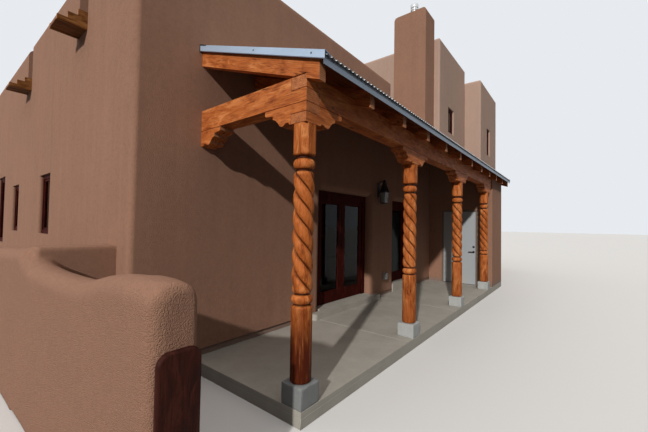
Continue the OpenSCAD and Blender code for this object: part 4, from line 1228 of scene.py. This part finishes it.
class HOUSE_OT_concrete(Operator):
    """Lay the jointed slab and the cast blocks, and dress the sills, the floor and the decks"""

    bl_idname = "house.concrete"
    bl_label = "Concrete"

    def execute(self, context):
        half = context.scene.house_concrete.joint / 2
        slab = Shape(61)
        # a core that closes the joints from below, four fields of topping, and the body under them
        joints = [SLAB_SOUTH, 3.01, 5.28, 7.54, SLAB_NORTH]
        core = (SLAB_IN, SLAB_SOUTH + 0.002, GROUND), (SLAB_OUT - 0.003, SLAB_NORTH - 0.002, -0.012)
        slab.take(box_mesh(*core, 0.0))
        for south, north in zip(joints, joints[1:]):
            low = south + (half if south > SLAB_SOUTH else 0)
            high = north - (half if north < SLAB_NORTH else 0)
            slab.take(box_mesh((SLAB_IN, low, -0.06), (SLAB_OUT, high, 0), 0.006))
        slab.take(box_mesh((SLAB_IN, SLAB_SOUTH, GROUND), (SLAB_OUT, SLAB_NORTH, -0.055), 0.004, 1))
        slab.piece("jointed_slab", slab_concrete(), "concrete", nodes=("portal_slab",))
        blocks = Shape(67)
        # flush with the slab's edge; the corner block is darkened, partly by damp and partly as painted shade
        wide = 0.25
        for k, y in enumerate(POST_YS):
            low, high = (SLAB_OUT - wide, y - wide / 2, 0.0), (SLAB_OUT, y + wide / 2, BLOCK_TOP)
            block = worn_block(low, high, k * 9.0)
            blocks.take(block, stain=0.0 if k else 0.6)
        blocks.piece("cast_blocks", block_concrete(), "concrete", nodes=("base_blocks",), smooth=60,
                     even=False)
        dress(slab_concrete(), "door_sills", "house_floor")
        soften(0.008, 3, "door_sills")
        dress(mineral_roofing(), "decks")
        return {"FINISHED"}


# Distance west of the corner, sill, width and height of the south wall's windows
SOUTH_WINDOWS = ((3.29, 1.4, 0.7, 1.03), (5.88, 1.39, 0.7, 1.01), (7.65, 1.06, 1.0, 1.66))
# Each window: the corner at its left seen from outside, the turn of its wall, its sill, width and height
WINDOWS = (
    [((-a - w, 0.0), 0, z, w, h) for a, z, w, h in SOUTH_WINDOWS]
    + [((-9.7, y + 0.7), -90, 1.4, 0.7, 1.03) for y in (1.3, 3.9)]
    + [((0.0, 10.27), 90, 5.0, 0.6, 0.9), ((0.6, 13.42), 90, 4.68, 0.52, 1.12)]
    + [((-5.8, 10.87), -90, 5.0, 0.6, 0.9), ((-5.8, 13.94), -90, 4.68, 0.52, 1.12)]
    + [((-5.8 / 3, 15.22), 180, 4.68, 0.52, 1.12)]
)
# How far the frames stand back in the wall, and their depth
WINDOW_IN, WINDOW_DEEP = 0.05, 0.07


def four_bars(shape, at, left, right, low, high, wide, near, far, slack, edge):
    """Frame of two uprights, with two rails between them that are thinner by slack on each face"""
    for x in (left, right - wide):
        shape.take(box_mesh((x, near, low), (x + wide, far, high), edge), at, "z")
    for z in (low, high - wide):
        rail = box_mesh((left + wide, near + slack, z), (right - wide, far - slack, z + wide), edge)
        shape.take(rail, at, "x")


class HOUSE_OT_windows(Operator):
    """Build the window frames with their sashes, and dress the panes"""

    bl_idname = "house.windows"
    bl_label = "Windows"

    def execute(self, context):
        shape = Shape(71)
        wide, sash, near, far, setback = 0.06, 0.042, WINDOW_IN, WINDOW_IN + WINDOW_DEEP, 0.013
        for (x, y), angle, z, w, h in WINDOWS:
            at = move(x, y, 0) @ turn(angle)
            four_bars(shape, at, 0, w, z, z + h, wide, near, far, 0.0005, 0.004)
            panes = 2 if w > 0.8 else 1
            pane = (w - 2 * wide) / panes
            for k in range(panes):
                left = wide + pane * k
                four_bars(shape, at, left, left + pane, z + wide, z + h - wide, sash, near + setback,
                          far - setback, 0.001, 0.003)
        shape.piece("sashed_windows", joinery_wood(), "dark_wood", nodes=("window_frames",))
        dress(door_glass(), "window_glass")
        return {"FINISHED"}


# Radius and height of the turned parts of the store door's hardware, and the lever's outline
ROSE = [(0.029, 0.0), (0.032, 0.003), (0.032, 0.007), (0.027, 0.0105), (0.012, 0.012), (0.0105, 0.04),
        (0.0105, 0.052), (0.008, 0.054), (0.0002, 0.0545)]
DEADBOLT = [(0.027, 0.0), (0.031, 0.003), (0.031, 0.008), (0.024, 0.014), (0.018, 0.016), (0.0002, 0.0165)]
LEVER = [(0.012, -0.009), (0.012, 0.009), (-0.03, 0.0095), (-0.085, 0.0085), (-0.108, 0.006), (-0.112, 0.0),
         (-0.108, -0.006), (-0.085, -0.0085), (-0.03, -0.0095)]
# How many times larger the lever is than its outline
LEVER_SIZE = 0.14 / 0.115
# Place of the store door's lock, heights of its lever and deadbolt, and the threshold's ends and back; the
# threshold is a black strip that paints the shadow gap under the door
LOCK_X, LEVER_Z, DEADBOLT_Z = 1.275, 0.93, 1.075
SILL_WEST, SILL_EAST, SILL_BACK, SILL_HIGH = 0.387, 1.383, 8.64, 0.009


def glazing_beads(name, pane, body, wide):
    """Beads round both faces of a pane"""
    low, high = part_box(pane)
    shape, deep, edge = Shape(83), 0.011, 0.004
    for x0, x1 in ((high.x, high.x + deep), (low.x - deep, low.x)):
        for y in (low.y, high.y - wide):
            shape.take(box_mesh((x0, y, low.z), (x1, y + wide, high.z), edge))
        for z in (low.z, high.z - wide):
            shape.take(box_mesh((x0, low.y + wide, z), (x1, high.y - wide, z + wide), edge), None, "y")
    shape.piece(name, joinery_wood(), "dark_wood", body)


class HOUSE_OT_doors(Operator):
    """Dress the doors, and add the glazing beads and the store door's lever, lock and threshold, a black
    strip that paints the shadow gap under the door
    """

    bl_idname = "house.doors"
    bl_label = "Doors"

    def execute(self, context):
        glazed = ("french_door_frame", "french_left_leaf", "french_right_leaf", "glass_door_frame",
                  "glass_door_leaf")
        dress(joinery_wood(), *glazed)
        soften(0.004, 2, *glazed)
        dress(frame_paint(), "store_door_frame")
        dress(door_paint(), "store_door_leaf")
        soften(0.003, 2, "store_door_frame", "store_door_leaf")
        dress(black_iron(), "door_hinges")
        dress(door_glass(), "french_left_glass", "french_right_glass", "glass_door_pane")
        bead = context.scene.house_joinery.bead
        glazing_beads("left_beads", "french_left_glass", "french_left", bead)
        glazing_beads("right_beads", "french_right_glass", "french_right", bead)
        glazing_beads("door_beads", "glass_door_pane", "glass_door", bead)
        face = part_box("store_door_leaf")[0].y
        store = Shape(89)
        spot = move(LOCK_X, face, LEVER_Z) @ turn(90, "X")
        store.take(lathe_mesh(ROSE, 32), spot)
        store.take(prism_mesh(LEVER, 0.011, 0.003), spot @ move(0, 0, 0.041) @ Matrix.Scale(LEVER_SIZE, 4))
        store.take(lathe_mesh(DEADBOLT, 32), move(LOCK_X, face, DEADBOLT_Z) @ turn(90, "X"))
        store.piece("store_lever", black_iron(), "iron", "store_door", nodes=("store_door_handle",),
                    smooth=40)
        # black strip under the door: painted shadow of the gap
        sill = box_mesh((SILL_WEST, face - 0.006, 0.0), (SILL_EAST, SILL_BACK, SILL_HIGH), 0.001, 1)
        Shape(97).take(sill).piece("store_threshold_painted_shadow", black_iron(), "iron")
        return {"FINISHED"}


# Distance of the lantern's middle from the wall
LANTERN_X = 0.15
# Sections of the six-sided lantern, each with the height and radius of its rings
TIERS = (
    ((0.0, 0.088), (0.008, 0.099), (0.016, 0.1)),
    ((0.016, 0.096), (0.026, 0.094)),
    ((0.248, 0.115), (0.262, 0.117)),
    ((0.262, 0.136), (0.272, 0.135), (0.28, 0.127)),
    ((0.28, 0.122), (0.33, 0.098), (0.40, 0.066), (0.462, 0.046)),
    ((0.46, 0.054), (0.472, 0.054), (0.478, 0.044), (0.50, 0.04)),
    ((0.50, 0.05), (0.508, 0.05), (0.53, 0.026), (0.551, 0.018)),
)


def lantern_hook(y, z):
    """Round bar that rises from the back plate and bends over to the roof"""
    steps, thick = 12, 0.008
    line = []
    for i in range(steps + 1):
        c, q = cos_sin(180 * i / steps)
        line.append((0.02 + 0.065 * (1 - c), z + 0.435 + 0.075 * q))
    rings = []
    for k, (x, h) in enumerate(line):
        (x0, h0), (x1, h1) = line[max(k - 1, 0)], line[min(k + 1, steps)]
        side = Vector((h0 - h1, 0, x1 - x0)).normalized()
        rings.append([(x + side.x * thick * math.cos(t), y + thick * math.sin(t),
                       h + side.z * thick * math.cos(t)) for t in full_turn(10)])
    return ring_mesh(rings)


def lantern_iron(y, z):
    """Back plate, hook, stepped roof and base, and the six corner bars"""
    iron, x = Shape(101), LANTERN_X
    iron.take(box_mesh((0.0, y - 0.06, z + 0.15), (0.014, y + 0.06, z + 0.48), 0.005))
    iron.take(box_mesh((0.012, y - 0.035, z + 0.22), (0.022, y + 0.035, z + 0.42), 0.004))
    iron.take(lantern_hook(y, z))
    corners = [cos_sin(60 * k) for k in range(6)]
    for tier in TIERS:
        bm = ring_mesh([[(x + r * c, y + r * q, z + h) for c, q in corners] for h, r in tier])
        round_edges(bm, bm.edges[:], 0.002, 1)
        iron.take(bm)
    section = ((-0.012, -0.007), (0.002, -0.007), (0.002, 0.007), (-0.012, 0.007))
    for c, q in corners:
        rings = []
        for r, h in ((0.093, 0.022), (0.114, 0.25)):
            rings.append([(x + (r + a) * c - b * q, y + (r + a) * q + b * c, z + h) for a, b in section])
        iron.take(ring_mesh(rings))
    iron.piece("lantern_iron", black_iron(), "iron", nodes=("wall_lantern",), smooth=30)


def lantern_panes(y, z):
    """Six panes that lean outward, and the candle behind them"""
    panes, x = Shape(103), LANTERN_X
    for k in range(6):
        ends = cos_sin(60 * k + 4), cos_sin(60 * k + 56)
        rings = []
        for low_r, high_r in ((0.089, 0.11), (0.086, 0.107)):
            corners = [(low_r, ends[0], 0.026), (low_r, ends[1], 0.026), (high_r, ends[1], 0.248),
                       (high_r, ends[0], 0.248)]
            rings.append([(x + r * c, y + r * q, z + h) for r, (c, q), h in corners])
        panes.take(ring_mesh(rings))
    candle = [(0.018, 0.026), (0.018, 0.13), (0.012, 0.135), (0.026, 0.16), (0.024, 0.2), (0.001, 0.22)]
    panes.take(lathe_mesh(candle, 16), move(x, y, z))
    panes.piece("lantern_panes", lamp_glass(), "glass", smooth=30)


def outlet_cover():
    """Weather cover with its back plate, its bulging lid, the hinge and the thumb catch"""
    cover = Shape(107)
    y0, y1, z0, z1 = 5.515, 5.63, 0.362, 0.53
    middle = (y0 + y1) / 2
    for low, high, edge, rounds in (
            ((0.0, y0, z0), (0.022, y1, z1), 0.006, 3),
            ((0.02, y0 + 0.006, z0 + 0.008), (0.078, y1 - 0.006, z1 - 0.008), 0.014, 4),
            ((0.02, y0 + 0.001, z0 + 0.03), (0.034, y0 + 0.009, z1 - 0.03), 0.003, 2)):
        cover.take(box_mesh(low, high, edge, rounds))
    for h in (z0 + 0.035, z1 - 0.035):
        cover.take(lathe_mesh([(0.005, -0.012), (0.005, 0.012)], 10), move(0.03, y0 + 0.003, h))
    cover.take(box_mesh((0.076, middle - 0.016, z0 + 0.02), (0.083, middle + 0.016, z0 + 0.032), 0.002))
    cover.piece("outlet_cover", grey_cover(), "iron", smooth=40)


class HOUSE_OT_lantern(Operator):
    """Build the six-sided wall lantern with its panes, and the outlet cover under it"""

    bl_idname = "house.lantern"
    bl_label = "Lantern and Outlet Cover"

    def execute(self, context):
        low, high = part_box("wall_lantern")
        y = (low.y + high.y) / 2
        lantern_iron(y, low.z)
        lantern_panes(y, low.z)
        outlet_cover()
        return {"FINISHED"}


class HOUSE_OT_flue(Operator):
    """Build the chimney's flue pipe and cap"""

    bl_idname = "house.flue"
    bl_label = "Chimney Flue"

    def execute(self, context):
        low, high = part_box("chimney_flue")
        place = move((low.x + high.x) / 2, (low.y + high.y) / 2, low.z)
        shape = Shape(109)
        # radius and height: the pipe on its storm collar with a seam, the cap's lower cup, and its lid
        pipe = [(0.19, 0.0), (0.19, 0.006), (0.13, 0.035), (0.1, 0.06), (0.1, 0.16), (0.105, 0.164),
                (0.105, 0.176), (0.1, 0.18), (0.1, 0.25), (0.002, 0.25)]
        cup = [(0.09, 0.25), (0.124, 0.256), (0.126, 0.262), (0.126, 0.30), (0.122, 0.305), (0.06, 0.31),
               (0.002, 0.31)]
        lid = [(0.118, 0.335), (0.125, 0.333), (0.127, 0.338), (0.127, 0.455), (0.124, 0.462), (0.08, 0.474),
               (0.0005, 0.479)]
        for profile in (pipe, cup, lid):
            shape.take(lathe_mesh(profile), place)
        for k in range(4):
            strap = box_mesh((0.108, -0.012, 0.30), (0.112, 0.012, 0.345), 0.001, 1)
            shape.take(strap, place @ turn(90 * k + 45))
        shape.piece("flue_and_cap", galvanized_sheet(), "galvanized", nodes=("chimney_flue",), smooth=35,
                    even=False)
        return {"FINISHED"}


# Patio wall: its ends, its thickness and height, and how far its south face turns away from the house
WALL_EAST, WALL_WEST, WALL_THICK, WALL_HIGH, WALL_SPLAY = 2.06, -3.75, 0.27, 1.375, 0.035
# East end and length of the scoop in its top, and the scoop's depth
SCOOP_EAST, SCOOP_LONG, SCOOP_DEEP = 1.925, 2.43, 0.157
# Share of the scoop's depth that is cut at even steps from its east end
SCOOP = (0.0, 0.07, 0.17, 0.27, 0.375, 0.517, 0.7, 0.87, 0.97, 0.985, 1.0, 1.0, 1.0, 1.0, 0.991, 0.969, 0.934,
         0.88, 0.755, 0.46, 0.0)
# How far the wall's arm runs into the south wall, so that its end shows no round
BEDDED = 0.1


def inset(d, r):
    """How far an edge of radius r has come in at the distance d from the end"""
    return r - math.sqrt(max(0.0, r * r - (r - d) ** 2)) if d < r else 0.0


def scoop_fall(x):
    u = max(0.0, min(1.0, (SCOOP_EAST - x) / SCOOP_LONG)) * (len(SCOOP) - 1)
    i = min(int(u), len(SCOOP) - 2)
    return SCOOP_DEEP * (SCOOP[i] + (SCOOP[i + 1] - SCOOP[i]) * (u - i))


def patio_ring(x):
    """Section of the patio wall at x, its top rounded and its corners drawn in near the ends"""
    d, foot, straight = WALL_EAST - x, GROUND, 0.6
    # past the arm the top falls to the west, and at the board it falls to the east
    top = (WALL_HIGH - scoop_fall(x) - 0.05 * max(0.0, -0.31 - x) - 0.05 * max(0.0, (x - 1.45) / 0.61) ** 1.5
           - inset(d, 0.05) - inset(x - WALL_WEST, 0.03))
    y = -0.68 - WALL_SPLAY * d
    south, north = y + inset(d, 0.08), y + WALL_THICK - inset(d, 0.03)
    outer, inner = (share * (north - south) for share in (0.45, 0.4 if d < 0.3 else 0.52))
    section = [(south, foot), (south, straight)] + arc(south + outer, top - outer, outer, 180, 90)
    section += arc(north - inner, top - inner, inner, 90, 0) + [(north, straight), (north, foot)]
    return [(x, p, q) for p, q in section]


def patio_shape():
    """Patio wall and the arm that joins it to the south wall, as two rough bodies"""
    places = [WALL_EAST - 0.08 * (1 - math.sin(math.radians(a))) for a in range(90, -1, -15)]
    places += [SCOOP_EAST - SCOOP_LONG * i / 40 for i in range(41)] + [-0.6 - 0.2 * i for i in range(16)]
    places += [WALL_WEST + 0.03 * (1 - math.sin(math.radians(a))) for a in range(0, 91, 30)]
    wall = Shape(111).take(ring_mesh([patio_ring(x) for x in places]))
    arm = [(-0.58, GROUND)] + arc(-0.52, WALL_HIGH - 0.06, 0.06, 180, 90, 6)
    arm += arc(-0.335, WALL_HIGH - 0.025, 0.025, 90, 0, 6) + [(-0.31, GROUND)]
    return wall.take(prism_mesh(arm, 0.66 + BEDDED, 0.0), move(0, BEDDED, 0) @ turn(90, "X"))


def patio_body():
    """The two bodies grown into one and smoothed"""
    shape = patio_shape()
    mesh = bpy.data.meshes.new("rounded_patio_wall")
    mesh.from_pydata(shape.corners, [], shape.faces)
    obj = bpy.data.objects.new("rounded_patio_wall", mesh)
    bpy.context.scene.collection.objects.link(obj)
    remesh = obj.modifiers.new("remesh", "REMESH")
    remesh.mode = "VOXEL"
    remesh.voxel_size = 0.02
    smooth = obj.modifiers.new("smooth", "SMOOTH")
    smooth.factor = 0.5
    smooth.iterations = 2
    obj.data = bpy.data.meshes.new_from_object(obj.evaluated_get(bpy.context.evaluated_depsgraph_get()))
    obj.modifiers.clear()
    return obj


class HOUSE_OT_patio_wall(Operator):
    """Build the hand-rounded patio wall, its arm and the gate board"""

    bl_idname = "house.patio_wall"
    bl_label = "Patio Wall"

    def execute(self, context):
        obj = patio_body()
        mesh = obj.data
        low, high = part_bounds("patio_wall")
        high.y += BEDDED
        # the surface swells and dips a little, as laid by hand, and stays within the node's box
        swells = ((0.006, 1.7), (0.0012, 6.0), (0.0008, 23.0))
        flat = []
        for p, normal in [(v.co.copy(), v.normal.copy()) for v in mesh.vertices]:
            q = p + normal * (sum(most * noise.noise(p * size) for most, size in swells) - 0.001)
            flat += [max(low[i], min(high[i], q[i])) for i in range(3)]
        mesh.vertices.foreach_set("co", flat)
        mesh.materials.clear()
        mesh.materials.append(patio_stucco())
        mesh.shade_smooth()
        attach(obj, "house")
        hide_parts("patio_wall")
        low, high = part_box("gate_jamb")
        wide, r = high.y - low.y, 0.065
        line = [(0, low.z), (wide, low.z)] + arc(wide - r, high.z - r, r, 0, 90, 10)
        line += arc(r, high.z - r, r, 90, 180, 10)
        board = Shape(113)
        board.take(prism_mesh(line, high.x - low.x, 0.018, 4), move(low.x, low.y, 0) @ UP_Y, "y", ends=0.0)
        board.piece("gate_board", gate_wood(), "dark_wood", nodes=("gate_jamb",))
        return {"FINISHED"}


def seen_rays(tree):
    """One for rays that show a thing to the eye, straight, in a mirror or through glass"""
    path = put(tree, "ShaderNodeLightPath").outputs
    straight = calc(tree, "MAXIMUM", path["Is Camera Ray"], path["Is Glossy Ray"])
    return calc(tree, "MAXIMUM", straight, path["Is Transmission Ray"])


# Share of its colour with which the floor lights the house
FLOOR_THROW = 0.07
# How fast the soft light falls off from overhead to the horizon, and how much of it comes from everywhere
FILL_RISE, FILL_LEAST = 2.5, 0.005
# The sun's direction on the ground plan, to the east and to the north, and its breadth in degrees
SUN_WAY = (0.347, -0.938)
SUN_BROAD = 1.6


def lay_floor(s):
    """Pale floor that throws little of its own light back at the walls"""
    half = 160.0
    mesh = bpy.data.meshes.new("studio_floor")
    corners = [(-half, -half, 0), (half, -half, 0), (half, half, 0), (-half, half, 0)]
    mesh.from_pydata(corners, [], [(0, 1, 2, 3)])
    floor = bpy.data.objects.new("studio_floor", mesh)
    bpy.context.scene.collection.objects.link(floor)
    mat, t, shader = start_material("studio_floor")
    feed(t, shader, Base_Color=tint(t, seen_rays(t), Vector(s.floor) * FLOOR_THROW, s.floor), Roughness=0.9)
    mesh.materials.append(mat)


def light_world(s):
    """Soft light mostly from overhead, so that walls under a roof stay dark, and a plain backdrop"""
    world = bpy.data.worlds.new("studio_light")
    world.use_nodes = True
    bpy.context.scene.world = world
    t = world.node_tree
    t.nodes.clear()
    up = height_of(t, put(t, "ShaderNodeTexCoord").outputs["Generated"])
    rise = calc(t, "POWER", calc(t, "MAXIMUM", up, 0.0), FILL_RISE)
    fill = put(t, "ShaderNodeBackground", None, Color=(1.0, 0.97, 0.95, 1),
               Strength=plus(t, times(t, rise, s.fill), FILL_LEAST))
    back = put(t, "ShaderNodeBackground", None, Color=(*s.backdrop, 1), Strength=1.0)
    both = put(t, "ShaderNodeMixShader", None, _0=seen_rays(t), _1=fill.outputs[0], _2=back.outputs[0])
    t.links.new(both.outputs[0], t.nodes.new("ShaderNodeOutputWorld").inputs[0])


def light_sun(s):
    """Key light from the south, a little to the east"""
    lamp = bpy.data.lights.new("key", "SUN")
    lamp.energy = s.sun
    lamp.angle = math.radians(SUN_BROAD)
    lamp.color = (1.0, 0.975, 0.94)
    sun = bpy.data.objects.new("key", lamp)
    bpy.context.scene.collection.objects.link(sun)
    level = math.cos(s.sun_height)
    toward = Vector((SUN_WAY[0] * level, SUN_WAY[1] * level, math.sin(s.sun_height)))
    sun.rotation_mode = "QUATERNION"
    sun.rotation_quaternion = toward.to_track_quat("Z", "Y")
    sun.location = toward * 30


# Camera as solved from the photograph: its place from HOME, its turn west of north, its rise and its roll
EYE = Vector((3.66, -1.38, 1.635))
YAW, PITCH, ROLL = (math.radians(a) for a in (38.36, 1.55, -0.953))


def set_camera():
    ahead = Vector((-math.sin(YAW) * math.cos(PITCH), math.cos(YAW) * math.cos(PITCH), math.sin(PITCH)))
    right = Vector((math.cos(YAW), math.sin(YAW), 0))
    down = ahead.cross(right)
    c, q = math.cos(ROLL), math.sin(ROLL)
    right, down = c * right + q * down, -q * right + c * down
    data = bpy.data.cameras.new("photo_camera")
    data.lens = 18.0
    data.sensor_width = 36.0
    data.sensor_fit = "HORIZONTAL"
    data.clip_start = 0.05
    data.clip_end = 600
    camera = bpy.data.objects.new("photo_camera", data)
    bpy.context.scene.collection.objects.link(camera)
    facing = Matrix((right, -down, -ahead)).transposed().to_4x4()
    camera.matrix_world = Matrix.Translation(HOME + EYE) @ facing
    bpy.context.scene.camera = camera


class HOUSE_OT_stage(Operator):
    """Set the floor, the lights and the camera"""

    bl_idname = "house.stage"
    bl_label = "Stage"

    def execute(self, context):
        s = context.scene.house_stage
        context.scene.view_settings.view_transform = "Standard"
        lay_floor(s)
        light_world(s)
        light_sun(s)
        set_camera()
        return {"FINISHED"}


OPERATORS = (HOUSE_OT_stucco, HOUSE_OT_concrete, HOUSE_OT_posts, HOUSE_OT_corbels, HOUSE_OT_beams,
             HOUSE_OT_rafters, HOUSE_OT_metal_roof, HOUSE_OT_spouts, HOUSE_OT_windows, HOUSE_OT_doors,
             HOUSE_OT_lantern, HOUSE_OT_flue, HOUSE_OT_patio_wall, HOUSE_OT_stage)
SETTINGS = {"house_timber": TimberSettings, "house_posts": PostSettings, "house_stucco": StuccoSettings,
            "house_roof": RoofSettings, "house_joinery": JoinerySettings, "house_concrete": ConcreteSettings,
            "house_stage": StageSettings}


class HOUSE_PT_panel(Panel):
    """Lists the steps and sizes of the house"""

    bl_label = "Adobe House"
    bl_idname = "HOUSE_PT_panel"
    bl_space_type = "VIEW_3D"
    bl_region_type = "UI"
    bl_category = "Adobe House"

    def draw(self, context):
        for key, group in SETTINGS.items():
            box = self.layout.box()
            for name in group.__annotations__:
                box.prop(getattr(context.scene, key), name)
        for operator in OPERATORS:
            self.layout.operator(operator.bl_idname)


def register():
    for group in SETTINGS.values():
        bpy.utils.register_class(group)
    for key, group in SETTINGS.items():
        setattr(bpy.types.Scene, key, PointerProperty(type=group))
    for item in (*OPERATORS, HOUSE_PT_panel):
        bpy.utils.register_class(item)


def unregister():
    for item in (HOUSE_PT_panel, *reversed(OPERATORS)):
        bpy.utils.unregister_class(item)
    for key, group in SETTINGS.items():
        delattr(bpy.types.Scene, key)
        bpy.utils.unregister_class(group)


def main():
    register()
    for operator in OPERATORS:
        getattr(bpy.ops.house, operator.bl_idname.split(".")[1])()


if __name__ == "__main__":
    main()
